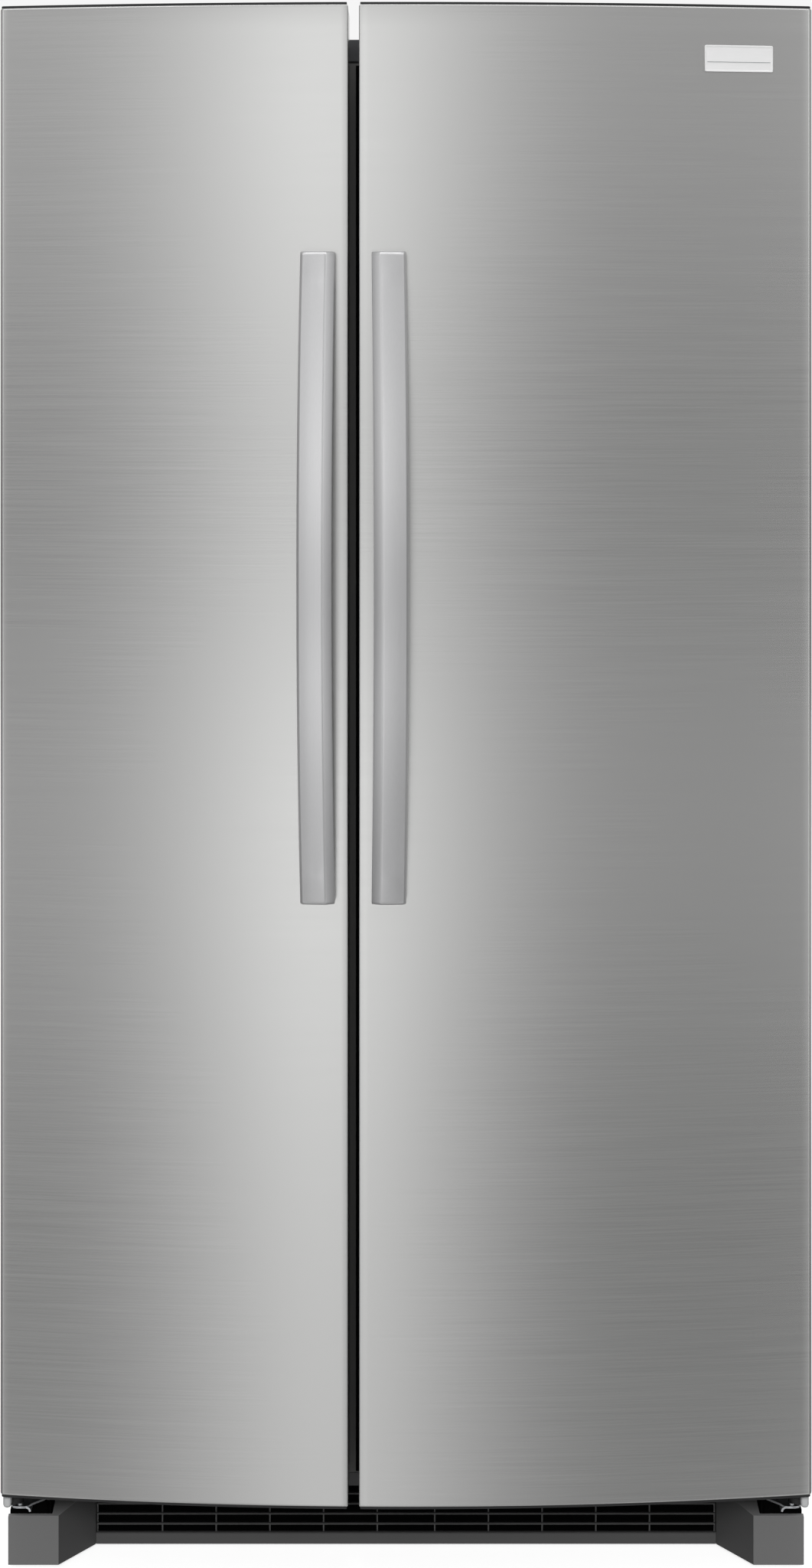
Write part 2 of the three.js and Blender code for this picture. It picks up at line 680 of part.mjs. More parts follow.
// The condenser fan blows along x, from the coil to the compressor.
const FAN = { x: 60, y: 315, z: 155, r: 64, shroudR: 72 };
{
  const ring = cut(
    block([FAN.x - 2, FAN.x + 2], [228, 402], [PAN_TOP, 245]),
    rod("x", [FAN.y, FAN.z], FAN.shroudR, FAN.x - 5, FAN.x + 5, 32),
  );
  const strut = block([FAN.x + 22, FAN.x + 25], [228, 402], [FAN.z - 8, FAN.z + 8]);
  const ties = [230, 400].map((y) =>
    block([FAN.x - 1, FAN.x + 25], [y - 2, y + 2], [FAN.z - 8, FAN.z + 8]),
  );
  const motor = rod("x", [FAN.y, FAN.z], 24, FAN.x + 24, FAN.x + 62, 20);
  const shaft = rod("x", [FAN.y, FAN.z], 3, FAN.x - 8, FAN.x + 30, 12);
  const made = join(ring, strut, ...ties, motor, shaft);
  add(cabinet, "condenser_fan_shroud", MATERIALS.blackSteel, made);
}

// A fan about z: a bored hub with pitched blades.
function fanBlades(radius, hubR, depth, count) {
  const blades = [rod("z", [0, 0], hubR, 0, depth, 20)];
  for (let i = 0; i < count; i++) {
    const blade = new THREE.BoxGeometry(radius - hubR + 4, radius * 0.5, 1.8)
      .translate((radius + hubR - 4) / 2, 0, 0)
      .rotateX(0.42)
      .translate(0, 0, depth / 2)
      .rotateZ((i * 2 * Math.PI) / count);
    blades.push(solid(blade));
  }
  const disc = rod("z", [0, 0], radius, -20, depth + 20, 40);
  const bore = rod("z", [0, 0], 3.6, -1, depth + 1, 12);
  return cut(join(...blades).intersect(disc), bore);
}

function addFan(name, material, made, position, turn) {
  const mesh = new THREE.Mesh(geometryOf(made), material);
  mesh.name = name;
  mesh.position.set(...position);
  mesh.rotation.set(...turn);
  cabinet.add(mesh);
}

const condenserFan = fanBlades(FAN.r, 20, 16, 5);
const fanPlace = [FAN.x + 3, FAN.y, FAN.z];
addFan("condenser_fan_blade", MATERIALS.darkTrim, condenserFan, fanPlace, [0, Math.PI / 2, 0]);

// ---- Freezer compartment -----------------------------------------------------------------------

const EVAPORATOR = { cover: 285, fanZ: 1180, x: (FREEZER.left + FREEZER.right) / 2, fanR: 50 };
{
  const { cover, fanZ, x, fanR } = EVAPORATOR;
  const span = [FREEZER.left + 2, FREEZER.right - 2];
  const sheet = block(span, [cover, cover + 3], [CAVITY.humpTop + 2, CAVITY.top - 2]);
  const slots = [];
  for (const z of [1290, 1310, 1330, 1500, 1520, 400, 420, 440])
    for (const column of [-1, 1])
      slots.push(block(sorted(x + column * 12, x + column * 112), [200, 330], [z, z + 8]));
  const opening = rod("y", [x, fanZ], fanR + 6, 200, 330, 32);
  const spider = [
    block([x - 66, x + 66], [cover + 34, cover + 37], [fanZ - 7, fanZ + 7]),
    block([x - 66, x - 60], [cover + 2, cover + 37], [fanZ - 7, fanZ + 7]),
    block([x + 60, x + 66], [cover + 2, cover + 37], [fanZ - 7, fanZ + 7]),
    rod("y", [x, fanZ], 20, cover + 35, cover + 70, 20),
    rod("y", [x, fanZ], 3, cover + 2, cover + 40, 12),
  ];
  const made = join(cut(sheet, ...slots, opening), ...spider);
  add(cabinet, "evaporator_cover", MATERIALS.whitePlastic, made);

  const blades = fanBlades(fanR, 15, 14, 5);
  const place = [x, cover + 12, fanZ];
  addFan("evaporator_fan_blade", MATERIALS.darkTrim, blades, place, [-Math.PI / 2, 0, 0]);
}

// A wire shelf: a border wire with cross wires.
function wireShelf(span, front, back, z) {
  const wire = 5;
  const frame = cut(
    block(span, [front, back], [z, z + wire]),
    block([span[0] + wire, span[1] - wire], [front + wire, back - wire], [z - 1, z + wire + 1]),
  );
  const bars = [];
  const count = 9;
  for (let i = 1; i < count; i++) {
    const x = span[0] + ((span[1] - span[0]) * i) / count;
    bars.push(block([x - 2, x + 2], [front + 1, back - 1], [z + 0.5, z + 4.5]));
  }
  return join(frame, ...bars);
}

const freezerShelf = [FREEZER.left + 3, FREEZER.right - 3];
for (const [name, z] of [
  ["freezer_shelf_lower", 600],
  ["freezer_shelf_upper", 880],
])
  add(cabinet, name, MATERIALS.whitePlastic, wireShelf(freezerShelf, SHELF_FRONT, 280, z));

// The ice maker hangs from the freezer's roof over its bin.
{
  const body = block([-380, -110], [70, 275], [1590, 1690]);
  const mould = block([-372, -150], [82, 180], [1580, 1600]);
  const motor = block([-150, -100], [60, 260], [1575, 1692]);
  add(cabinet, "ice_maker", MATERIALS.whitePlastic, join(body, mould, motor));
}
add(
  cabinet,
  "ice_bin",
  MATERIALS.clearPlastic,
  openBox([-392, -99], [DRAWER_FRONT, 272], [1400, 1555], 3, "top"),
);
add(
  cabinet,
  "freezer_basket",
  MATERIALS.clearPlastic,
  openBox([-393, -98], [DRAWER_FRONT, 140], [156, 330], 3, "top"),
);

// ---- Fresh-food compartment --------------------------------------------------------------------

// A glass shelf in a moulded rim.
function glassShelf(z) {
  const x = [FRESH.left + 3, FRESH.right - 3];
  const y = [SHELF_FRONT, 330];
  const rim = cut(
    block(x, y, [z, z + 16]),
    block([x[0] + 12, x[1] - 12], [y[0] + 14, y[1] - 12], [z + 9, z + 20]),
    block([x[0] + 12, x[1] - 12], [y[0] + 14, y[1] - 12], [z - 5, z + 4]),
  );
  return rim;
}
for (const [name, z] of [
  ["crisper_shelf", 540],
  ["glass_shelf_lower", 900],
  ["glass_shelf_upper", 1250],
])
  add(cabinet, name, MATERIALS.glass, glassShelf(z));

add(
  cabinet,
  "crisper_lower",
  MATERIALS.clearPlastic,
  openBox([FRESH.left + 8, FRESH.right - 8], [DRAWER_FRONT, 140], [156, 330], 3, "top"),
);
add(
  cabinet,
  "crisper_upper",
  MATERIALS.clearPlastic,
  openBox([FRESH.left + 8, FRESH.right - 8], [DRAWER_FRONT, 300], [352, 530], 3, "top"),
);

// The control housing hangs from the roof, with one temperature knob on its face.
const KNOB = { x: 300, z: 1672, r: 17 };
{
  const housing = block([10, 370], [SHELF_FRONT, 120], [1640, 1698]);
  const shaft = rod("y", [KNOB.x, KNOB.z], 3, SHELF_FRONT - 10, SHELF_FRONT + 2, 12);
  add(cabinet, "control_housing", MATERIALS.whitePlastic, join(housing, shaft));
  const knob = cut(
    join(
      rod("y", [0, 0], KNOB.r, -14, 0, 24),
      block([-3, 3], [-20, -10], [-KNOB.r + 1, KNOB.r - 1]),
    ),
    rod("y", [0, 0], 3.6, -12, 1, 12),
  );
  const place = [KNOB.x, SHELF_FRONT - GAP, KNOB.z];
  add(cabinet, "temperature_knob", MATERIALS.greyPlastic, knob, place);
}

export default refrigerator;
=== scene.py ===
"""Looks of the side-by-side refrigerator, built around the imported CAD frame.

Helpers take millimetres in the row frame: +X right, +Y back, +Z up. MM turns them into metres."""

import math

import bmesh
import bpy
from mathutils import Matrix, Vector


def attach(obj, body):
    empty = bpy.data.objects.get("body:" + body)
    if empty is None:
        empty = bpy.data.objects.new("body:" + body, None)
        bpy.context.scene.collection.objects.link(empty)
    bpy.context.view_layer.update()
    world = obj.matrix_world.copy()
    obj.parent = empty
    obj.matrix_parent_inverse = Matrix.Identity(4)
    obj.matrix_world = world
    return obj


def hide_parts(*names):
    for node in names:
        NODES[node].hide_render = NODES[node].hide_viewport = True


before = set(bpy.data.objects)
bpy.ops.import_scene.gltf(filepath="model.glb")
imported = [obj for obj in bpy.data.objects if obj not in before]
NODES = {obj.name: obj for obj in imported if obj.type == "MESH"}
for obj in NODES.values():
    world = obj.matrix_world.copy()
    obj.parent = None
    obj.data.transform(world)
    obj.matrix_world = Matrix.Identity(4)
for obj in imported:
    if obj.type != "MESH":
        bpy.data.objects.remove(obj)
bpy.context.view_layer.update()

MM = 0.001
SCENE = bpy.context.scene

# ---- The CAD's driving dimensions, in millimetres ----

HALF_WIDTH = 457.2
DOOR_Z = (100.0, 1779.0)
APEX_Y = -374.0
RISE = 37.0
DOOR_BACK = -277.0
ARC_R = (HALF_WIDTH**2 + RISE**2) / (2 * RISE)
CURVE_STEPS = 56
HINGE_X, HINGE_Y = 445.0, -305.0
NOTCH_IN, NOTCH_Y, NOTCH_Z = 62.0, -324.0, 1745.0
CAB_FRONT, CAB_TOP = -265.0, 1750.0
ROOM_Z = (150.0, 1700.0)
HUMP_Y, HUMP_Z, ROOM_BACK = 150.0, 345.0, 370.0
LEDGE_Y = (-120.0, 250.0)
FAN_Z = 1180.0
DRAWER_FRONT, SHELF_FRONT, BIN_BACK = -105.0, -140.0, -162.0

DOORS = {
    "freezer": {
        "free": -64.6, "hinge": -HALF_WIDTH, "side": -1, "body": "freezer_door",
        "prefix": "freezer_door", "room": (-403.0, -88.0), "dyke": (-397.0, -100.0),
        "bins": {"lower": (400, 490), "middle": (660, 760), "upper": (1010, 1110)},
    },
    "fresh": {
        "free": -52.4, "hinge": HALF_WIDTH, "side": 1, "body": "fresh_food_door",
        "prefix": "fresh_door", "room": (-29.0, 408.0), "dyke": (-17.0, 402.0),
        "bins": {"lower": (570, 680), "middle": (850, 960), "upper": (1140, 1250)},
    },
}

# ---- Materials ----


def colour(rgb):
    """sRGB values from 0 to 255, or one for a grey, as scene-linear RGBA."""
    shares = [v / 255 for v in ((rgb,) * 3 if isinstance(rgb, int) else rgb)]
    return (*(v / 12.92 if v <= 0.04045 else ((v + 0.055) / 1.055) ** 2.4 for v in shares), 1.0)


def plug(tree, socket, value):
    """Gives a socket a value, or links it to another node's output."""
    if isinstance(value, bpy.types.NodeSocket):
        tree.links.new(value, socket)
    else:
        socket.default_value = value


def feed(tree, node, **inputs):
    """Plugs a node's sockets, whose names are written with underscores for spaces."""
    for name, value in inputs.items():
        plug(tree, node.inputs[name.replace("_", " ")], value)
    return node


def add(tree, kind, **inputs):
    return feed(tree, tree.nodes.new("ShaderNode" + kind), **inputs)


def material(name, slot, tones, rough, grain, detail, bump=0.0, fine=0.0, **sockets):
    """A Principled material whose colour and roughness vary with noise in the row frame.

    tones holds the two colours that the noise mixes, rough the two roughness values, and grain
    the noise's frequency along each axis. bump is the height of the relief, in millimetres, and
    fine the frequency of the relief's own noise, where it has one."""
    made = bpy.data.materials.new(name)
    made.use_nodes = True
    tree = made.node_tree
    place = add(tree, "TexCoord").outputs["Object"]
    grain = (grain,) * 3 if isinstance(grain, int) else grain
    scaled = add(tree, "Mapping", Scale=grain, Vector=place).outputs["Vector"]
    noise = add(tree, "TexNoise", Scale=1.0, Detail=detail, Vector=scaled).outputs["Fac"]
    mix = add(tree, "Mix")
    mix.data_type = "RGBA"
    feed(tree, mix, A=colour(tones[0]), B=colour(tones[1]), Factor=noise)
    spread = add(tree, "MapRange", From_Min=0.3, From_Max=0.7, To_Min=rough[0], To_Max=rough[1],
                 Value=noise)
    shader = feed(tree, tree.nodes["Principled BSDF"], Base_Color=mix.outputs["Result"],
                  Roughness=spread.outputs["Result"], **sockets)
    if bump:
        if fine:
            noise = add(tree, "TexNoise", Scale=fine, Detail=2.0, Vector=place).outputs["Fac"]
        ridge = add(tree, "Bump", Strength=1.0, Distance=bump * MM, Height=noise)
        feed(tree, shader, Normal=ridge.outputs["Normal"])
    return made


def brushed(made, rotation):
    """Stretches a metal's highlights across its grain, around the part's upright axis."""
    tree = made.node_tree
    tangent = add(tree, "Tangent")
    tangent.direction_type, tangent.axis = "RADIAL", "Z"
    feed(tree, tree.nodes["Principled BSDF"], Anisotropic=0.35, Anisotropic_Rotation=rotation,
         Tangent=tangent.outputs["Tangent"])
    return made


def clear(name, slot, tint, rough, ior):
    """A see-through plastic or glass that lets light through to what is behind it."""
    made = material(name, slot, (tint, tint), rough, 9, 4, Transmission_Weight=1.0, IOR=ior)
    tree = made.node_tree
    shadow = add(tree, "LightPath").outputs["Is Shadow Ray"]
    through = add(tree, "BsdfTransparent", Color=(0.94, 0.94, 0.94, 1.0))
    mix = add(tree, "MixShader", Fac=shadow)
    plug(tree, mix.inputs[1], tree.nodes["Principled BSDF"].outputs["BSDF"])
    plug(tree, mix.inputs[2], through.outputs["BSDF"])
    feed(tree, tree.nodes["Material Output"], Surface=mix.outputs["Shader"])
    return made


STEEL = brushed(
    material("stainless_brushed", "stainless", ((196, 196, 195), (206, 206, 205)), (0.23, 0.27),
             (7, 7, 1500), 3, 0.0008, Metallic=1.0), 0.25)
GRIP = brushed(
    material("handle_satin", "handle_metal", ((208, 208, 209), (216, 216, 217)), (0.30, 0.34),
             (1300, 1300, 9), 3, 0.0008, Metallic=0.85), 0.0)
PAINT = material("cabinet_paint", "cabinet_paint", ((92, 93, 95), (98, 99, 101)), (0.42, 0.52),
                 900, 2, 0.05)
TRIM = material("dark_trim_plastic", "dark_trim", ((24, 24, 25), (29, 29, 30)), (0.45, 0.56),
                1500, 2, 0.02)
# A lighter copy of the dark trim for the mullion: painted light that makes up for the little light
# reaching it in the door gap.
GAP_TRIM_PAINTED_LIGHT = material("mullion_plastic_painted_light", "dark_trim", ((95, 95, 94), (101, 101, 100)),
                    (0.45, 0.55), 1500, 2, 0.02)
GREY = material("grey_plastic", "grey_plastic", (122, 128), (0.45, 0.56), 1500, 2, 0.02)
# Dark plastic of the toe grille; on the leg covers' inward faces it is painted shade.
PLINTH_AND_WALL_SHADE = material("plinth_plastic", "plinth_plastic", (77, 83), (0.45, 0.55), 1500, 2, 0.02)
WHITE = material("white_liner_plastic", "white_plastic", ((236, 237, 238), (242, 243, 243)),
                 (0.30, 0.34), 5, 1, 0.006, fine=700.0)
SATIN_WHITE = material("white_moulding", "white_plastic", ((228, 230, 231), (236, 237, 238)),
                       (0.30, 0.40), 30, 4, 0.01)
COAT = material("white_wire_coat", "white_plastic", ((234, 235, 235), (243, 243, 243)),
                (0.22, 0.32), 300, 3, 0.01)
CLEAR = clear("clear_bin_plastic", "clear_plastic", (238, 244, 247), (0.05, 0.10), 1.18)
FROST = clear("frosted_bin_plastic", "clear_plastic", (236, 241, 245), (0.28, 0.36), 1.2)
GLASS = clear("shelf_glass", "shelf_glass", (228, 242, 238), (0.01, 0.03), 1.3)
SEAL = material("gasket_rubber", "gasket_rubber", ((92, 93, 95), (101, 102, 104)), (0.62, 0.74),
                500, 3, 0.02)
FOAM = material("insulation_foam", "foam", ((214, 197, 142), (233, 219, 170)), (0.85, 0.95), 260, 6, 0.5)
ZINC = material("zinc_plate", "zinc_steel", ((172, 174, 177), (203, 205, 208)), (0.28, 0.42),
                70, 6, 0.01, Metallic=1.0)
GALVANISED = material("galvanised_sheet", "zinc_steel", ((158, 161, 165), (190, 193, 196)),
                      (0.36, 0.52), 55, 8, 0.02, Metallic=0.9)
BLACK = material("black_enamel", "black_steel", ((24, 24, 25), (31, 31, 32)), (0.30, 0.42), 500, 3, 0.02)
COPPER = material("copper_tube", "zinc_steel", ((186, 112, 74), (205, 134, 94)), (0.25, 0.40),
                  120, 5, Metallic=1.0)
ALUMINIUM = material("aluminium_fin", "plate_aluminium", ((196, 198, 200), (214, 216, 218)),
                     (0.28, 0.40), (400, 400, 30), 4, Metallic=1.0)
PLATE = material("nameplate_satin", "plate_aluminium", (243, 247), (0.30, 0.34), (60, 60, 700),
                 2, Metallic=0.35)
RUBBER = material("black_rubber", "gasket_rubber", (30, 38), (0.7, 0.85), 700, 3, 0.03)
# Near-black matt plastic, mostly painted shade: it stands in for the shadow in gaps, slits and the space
# behind the grille, and it is also the black hinge carriers' colour.
SHADE_BLACK = material("matt_black_painted_shade", "dark_trim", (5, 9), (0.85, 0.95), 500, 2, Specular_IOR_Level=0.05)
LENS = material("lamp_lens", "white_plastic", ((246, 246, 243), (252, 252, 249)), (0.25, 0.35), 60, 2)

# ---- Mesh helpers ----


def at(axis, a, b, along):
    """The point with a and b across axis, in X, Y, Z order, and along on it."""
    return {"x": (along, a, b), "y": (a, along, b), "z": (a, b, along)}[axis]


def arc(cx, cy, r, start, end, steps):
    """Points on an arc, angles in degrees."""
    angles = [math.radians(start + (end - start) * i / steps) for i in range(steps + 1)]
    return [(cx + r * math.cos(t), cy + r * math.sin(t)) for t in angles]


def rounded(a, b, r, steps=4):
    """A rectangle's outline with rounded corners, from its spans along two axes."""
    (a0, a1), (b0, b1) = a, b
    corners = [(a1 - r, b1 - r, 0), (a0 + r, b1 - r, 90), (a0 + r, b0 + r, 180), (a1 - r, b0 + r, 270)]
    return [p for x, y, t in corners for p in arc(x, y, r, t, t + 90, steps)]


def circle(a, b, r, sides):
    return arc(a, b, r, 0, 360 - 360 / sides, sides - 1)


class Build:
    """Collects closed shapes into one mesh."""

    def __init__(self):
        self.verts, self.faces = [], []

    def loft(self, rings, closed=False):
        """A skin through rings of as many points each, capped unless it closes on itself."""
        n, count, first = len(rings[0]), len(rings), len(self.verts)
        for i in range(count if closed else count - 1):
            a, b = first + i * n, first + (i + 1) % count * n
            self.faces += [[a + k, a + (k + 1) % n, b + (k + 1) % n, b + k] for k in range(n)]
        if not closed:
            last = first + (count - 1) * n
            self.faces += [list(range(first, first + n))[::-1], list(range(last, last + n))]
        self.verts += [p for ring in rings for p in ring]
        return self

    def prism(self, axis, outline, lo, hi):
        return self.loft([[at(axis, a, b, h) for a, b in outline] for h in (lo, hi)])

    def box(self, x, y, z):
        return self.prism("z", [(x[0], y[0]), (x[1], y[0]), (x[1], y[1]), (x[0], y[1])], *z)

    def pad(self, axis, a, b, r, steps, levels, nested=False, closed=False):
        """A rounded rectangle's loft: levels is (inset, height along axis), r its corners.

        The corners of a nested one shrink with the inset."""
        return self.loft([[at(axis, p, q, h) for p, q in
                           rounded((a[0] + g, a[1] - g), (b[0] + g, b[1] - g),
                                   r - g if nested else r, steps)]
                          for g, h in levels], closed)

    def rod(self, axis, centre, r, lo, hi, sides, edge=0.0):
        """A cylinder, its ends chamfered by edge."""
        profile = [(r - edge, lo), (r, lo + edge), (r, hi - edge), (r - edge, hi)]
        return self.turn(axis, centre, profile if edge else [(r, lo), (r, hi)], sides)

    def turn(self, axis, centre, profile, sides, closed=False):
        """A turned shape: profile is (radius, height)."""
        rings = [[at(axis, a, b, h) for a, b in circle(*centre, max(r, 0.01), sides)] for r, h in profile]
        return self.loft(rings, closed)

    def ring(self, axis, centre, profile, sides):
        """A turned ring, whose profile is a closed loop."""
        return self.turn(axis, centre, profile, sides, closed=True)

    def tube(self, points, r, sides, closed=False):
        """A round tube along points."""
        path = [Vector(p) for p in points]
        count = len(path)
        rings, side = [], None
        for i, p in enumerate(path):
            if closed:
                ahead = path[(i + 1) % count] - path[i - 1]
            else:
                ahead = path[min(i + 1, count - 1)] - path[max(i - 1, 0)]
            ahead.normalize()
            if side is None:
                side = ahead.orthogonal()
            side = (side - ahead * side.dot(ahead)).normalized()
            up = ahead.cross(side)
            rings.append([tuple(p + side * (r * math.cos(t)) + up * (r * math.sin(t)))
                          for t in (2 * math.pi * k / sides for k in range(sides))])
        return self.loft(rings, closed=closed)

    def tub(self, x, y, z, wall, r, foot_r, draft, lip):
        """An open-topped tray with rounded corners, a rounded foot and a lip round its rim."""
        z0, z1 = z

        def ring(inset, height):
            grow = inset + draft * (z1 - height) / (z1 - z0)
            spans = (x[0] + grow, x[1] - grow), (y[0] + grow, y[1] - grow)
            return [(a, b, height) for a, b in rounded(*spans, max(r - inset, 1.0))]

        def foot(inset, base, radius):
            turns = [math.radians(30 * i) for i in range(4)]
            return [ring(inset + radius * (1 - math.sin(t)), base + radius * (1 - math.cos(t)))
                    for t in turns]

        inner = lip + wall
        rim = [(lip, z1 - 5), (0, z1 - 4), (0, z1 - 0.6), (0.6, z1), (inner - 0.6, z1), (inner, z1 - 0.6)]
        return self.loft(foot(lip, z0, foot_r) + [ring(*level) for level in rim]
                         + foot(inner, z0 + wall, max(foot_r - wall, 1.5))[::-1])

    def make(self, name, made_of, body="cabinet", bevel=0.0, angle=30.0, replaces=None,
             solidify=0.0, face=None):
        """The finished object. face is the direction that an open sheet's front looks in."""
        mesh = bpy.data.meshes.new(name)
        mesh.from_pydata([tuple(c * MM for c in v) for v in self.verts], [], self.faces)
        grid = bmesh.new()
        grid.from_mesh(mesh)
        bmesh.ops.recalc_face_normals(grid, faces=grid.faces)
        if face and sum(f.calc_area() * f.normal.dot(Vector(face)) for f in grid.faces) < 0:
            bmesh.ops.reverse_faces(grid, faces=grid.faces)
        grid.to_mesh(mesh)
        grid.free()
        obj = bpy.data.objects.new(name, mesh)
        SCENE.collection.objects.link(obj)
        mesh.materials.append(made_of)
        mesh.shade_smooth()
        if solidify:
            sheet = obj.modifiers.new("thickness", "SOLIDIFY")
            sheet.thickness, sheet.offset = solidify * MM, -1.0
            sheet.use_even_offset = True
        if bevel:
            add_bevel(obj, bevel, angle)
        else:
            mesh.set_sharp_from_angle(angle=math.radians(angle))
        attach(obj, body)
        if replaces:
            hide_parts(replaces)
        return obj


def add_bevel(obj, width, angle):
    soft = obj.modifiers.new("edges", "BEVEL")
    soft.width, soft.segments = width * MM, 2
    soft.limit_method, soft.angle_limit = "ANGLE", math.radians(angle)
    soft.harden_normals = True


def dress(node, made_of, bevel=0.0):
    """Gives a CAD node its material, welded faces and softened edges."""
    obj = NODES[node]
    for place in range(len(obj.material_slots)):
        obj.material_slots[place].material = made_of
    for polygon in obj.data.polygons:
        polygon.use_smooth = bool(bevel)
    obj.modifiers.new("weld", "WELD").merge_threshold = 0.00002
    if bevel:
        add_bevel(obj, bevel, 35)


def sheet(x, z, holes, y):
    """An upright sheet with rectangular holes, as one layer of clean faces."""
    xs = sorted({*x, *(v for hole in holes for v in hole[0])})
    zs = sorted({*z, *(v for hole in holes for v in hole[1])})
    made = Build()
    place = {}

    def corner(i, k):
        if (i, k) not in place:
            place[i, k] = len(made.verts)
            made.verts.append((xs[i], y, zs[k]))
        return place[i, k]

    for i in range(len(xs) - 1):
        for k in range(len(zs) - 1):
            cx, cz = (xs[i] + xs[i + 1]) / 2, (zs[k] + zs[k + 1]) / 2
            if any(h[0][0] < cx < h[0][1] and h[1][0] < cz < h[1][1] for h in holes):
                continue
            made.faces.append([corner(i, k), corner(i + 1, k), corner(i + 1, k + 1), corner(i, k + 1)])
    return made


def span(a, b):
    return (a, b) if a < b else (b, a)


def both(make):
    """Calls make with the name and sign of each side."""
    for name, s in (("left", -1), ("right", 1)):
        make(name, s)


# ---- Doors ----


def arc_y(x):
    """The Y of the doors' curved front at x."""
    return APEX_Y + ARC_R - math.sqrt(ARC_R * ARC_R - x * x)


def front_path(door, inset):
    """The door's sides and front from above, from one rear edge round to the other."""
    x0, x1 = span(door["free"], door["hinge"])
    r0 = ARC_R - inset
    cy = APEX_Y + inset + r0

    def corner(x, direction):
        r = max((5.0 if abs(x) > HALF_WIDTH - 1 else 1.4) - inset, 0.5)
        px = x + direction * (inset + r)
        py = cy - math.sqrt((r0 - r) ** 2 - px**2)
        return px, py, r, math.degrees(math.atan2(py - cy, px))

    ax, ay, ar, a_end = corner(x0, 1)
    bx, by, br, b_end = corner(x1, -1)
    left = arc(ax, ay, ar, -180, a_end, 7)
    right = arc(bx, by, br, b_end, 0, 7)
    middle = arc(0, cy, r0, a_end, b_end, CURVE_STEPS)[1:-1]
    return left + middle + right


def door_plate(door, inset, notched, back=DOOR_BACK, clear=0.0):
    """The door's closed outline from above, with or without the hinge's notch."""
    path = front_path(door, inset)
    x0, x1 = path[0][0], path[-1][0]
    rear = [(x1, back), (x0, back)]
    if notched:
        front = NOTCH_Y - clear
        inner = door["hinge"] - door["side"] * (NOTCH_IN + clear)
        if door["side"] > 0:
            rear = [(x1, front), (inner, front), (inner, back), (x0, back)]
        else:
            rear = [(x1, back), (inner, back), (inner, front), (x0, front)]
    return path + rear


def door_skin(name, door):
    """A folded sheet: rear returns, sides and the curved front, with rolled top and bottom."""
    s = door["side"]
    low, high, roll = DOOR_Z[0] + 2.2, DOOR_Z[1] - 2.2, 3.0
    turns = [math.radians(90 * i / 5) for i in range(6)]
    levels = [(low + roll * (1 - math.cos(t)), roll * (1 - math.sin(t))) for t in turns]
    levels += [(NOTCH_Z, 0.0)]
    levels += [(high - roll * (1 - math.cos(t)), roll * (1 - math.sin(t))) for t in turns[::-1]]
    made = Build()
    rows = []
    for z, inset in levels:
        path = front_path(door, inset)
        rear = DOOR_BACK - 2.4
        x0, x1 = path[0][0], path[-1][0]
        notch_at = [(x1, NOTCH_Y)] if s > 0 else [(x0, NOTCH_Y)]
        head = [(x0 + 9, rear), (x0, rear)] + (notch_at if s < 0 else [])
        tail = (notch_at if s > 0 else []) + [(x1, rear), (x1 - 9, rear)]
        rows.append([(a, b, z) for a, b in head + path + tail])
    n = len(rows[0])
    made.verts = [p for row in rows for p in row]
    hidden = {0, 1} if s < 0 else {n - 2, n - 3}
    for i in range(len(rows) - 1):
        for k in range(n - 1):
            if levels[i][0] >= NOTCH_Z and k in hidden:
                continue
            a = i * n + k
            made.faces.append([a, a + 1, a + 1 + n, a + n])
    made.make(f"{name}_door_panel", STEEL, door["body"], solidify=1.1, face=(0, -1, 0),
              replaces=f"{door['prefix']}_skin")


def door_caps(name, door):
    """Moulded caps that close the sheet above and below, and the pocket round the hinge."""
    for end, z, notched in (("top", (DOOR_Z[1] - 4.2, DOOR_Z[1]), True),
                            ("bottom", (DOOR_Z[0], DOOR_Z[0] + 4.2), False)):
        made = Build().prism("z", door_plate(door, 1.4, notched), *z)
        made.make(f"{name}_door_{end}_cap", TRIM, door["body"], bevel=0.9, angle=40)
    s, hinge = door["side"], door["hinge"]
    inner = hinge - s * NOTCH_IN
    back = DOOR_BACK - 2.8
    z = (NOTCH_Z + 0.2, DOOR_Z[1] - 4.4)
    pocket = Build()
    pocket.box(span(inner, hinge - s * 1.3), (NOTCH_Y, DOOR_BACK), (z[0], z[0] + 1.2))
    pocket.box(span(inner, inner + s * 1.1), (NOTCH_Y, back), (z[0] + 1.3, z[1]))
    pocket.box(span(inner + s * 1.2, hinge - s * 1.3), (NOTCH_Y, NOTCH_Y + 1.1), (z[0] + 1.3, z[1]))
    pocket.make(f"{name}_door_hinge_pocket", TRIM, door["body"])


def door_core(name, door):
    """The foam that fills the door, clear of its sheet, caps, pocket and inner panel."""
    made = Build()
    split = NOTCH_Z - 3
    for z, notched in (((DOOR_Z[0] + 6, split - 0.2), False), ((split, DOOR_Z[1] - 6), True)):
        made.prism("z", door_plate(door, 2.4, notched, DOOR_BACK - 4, 2.5), *z)
    made.make(f"{name}_door_core", FOAM, door["body"], replaces=f"{door['prefix']}_foam")


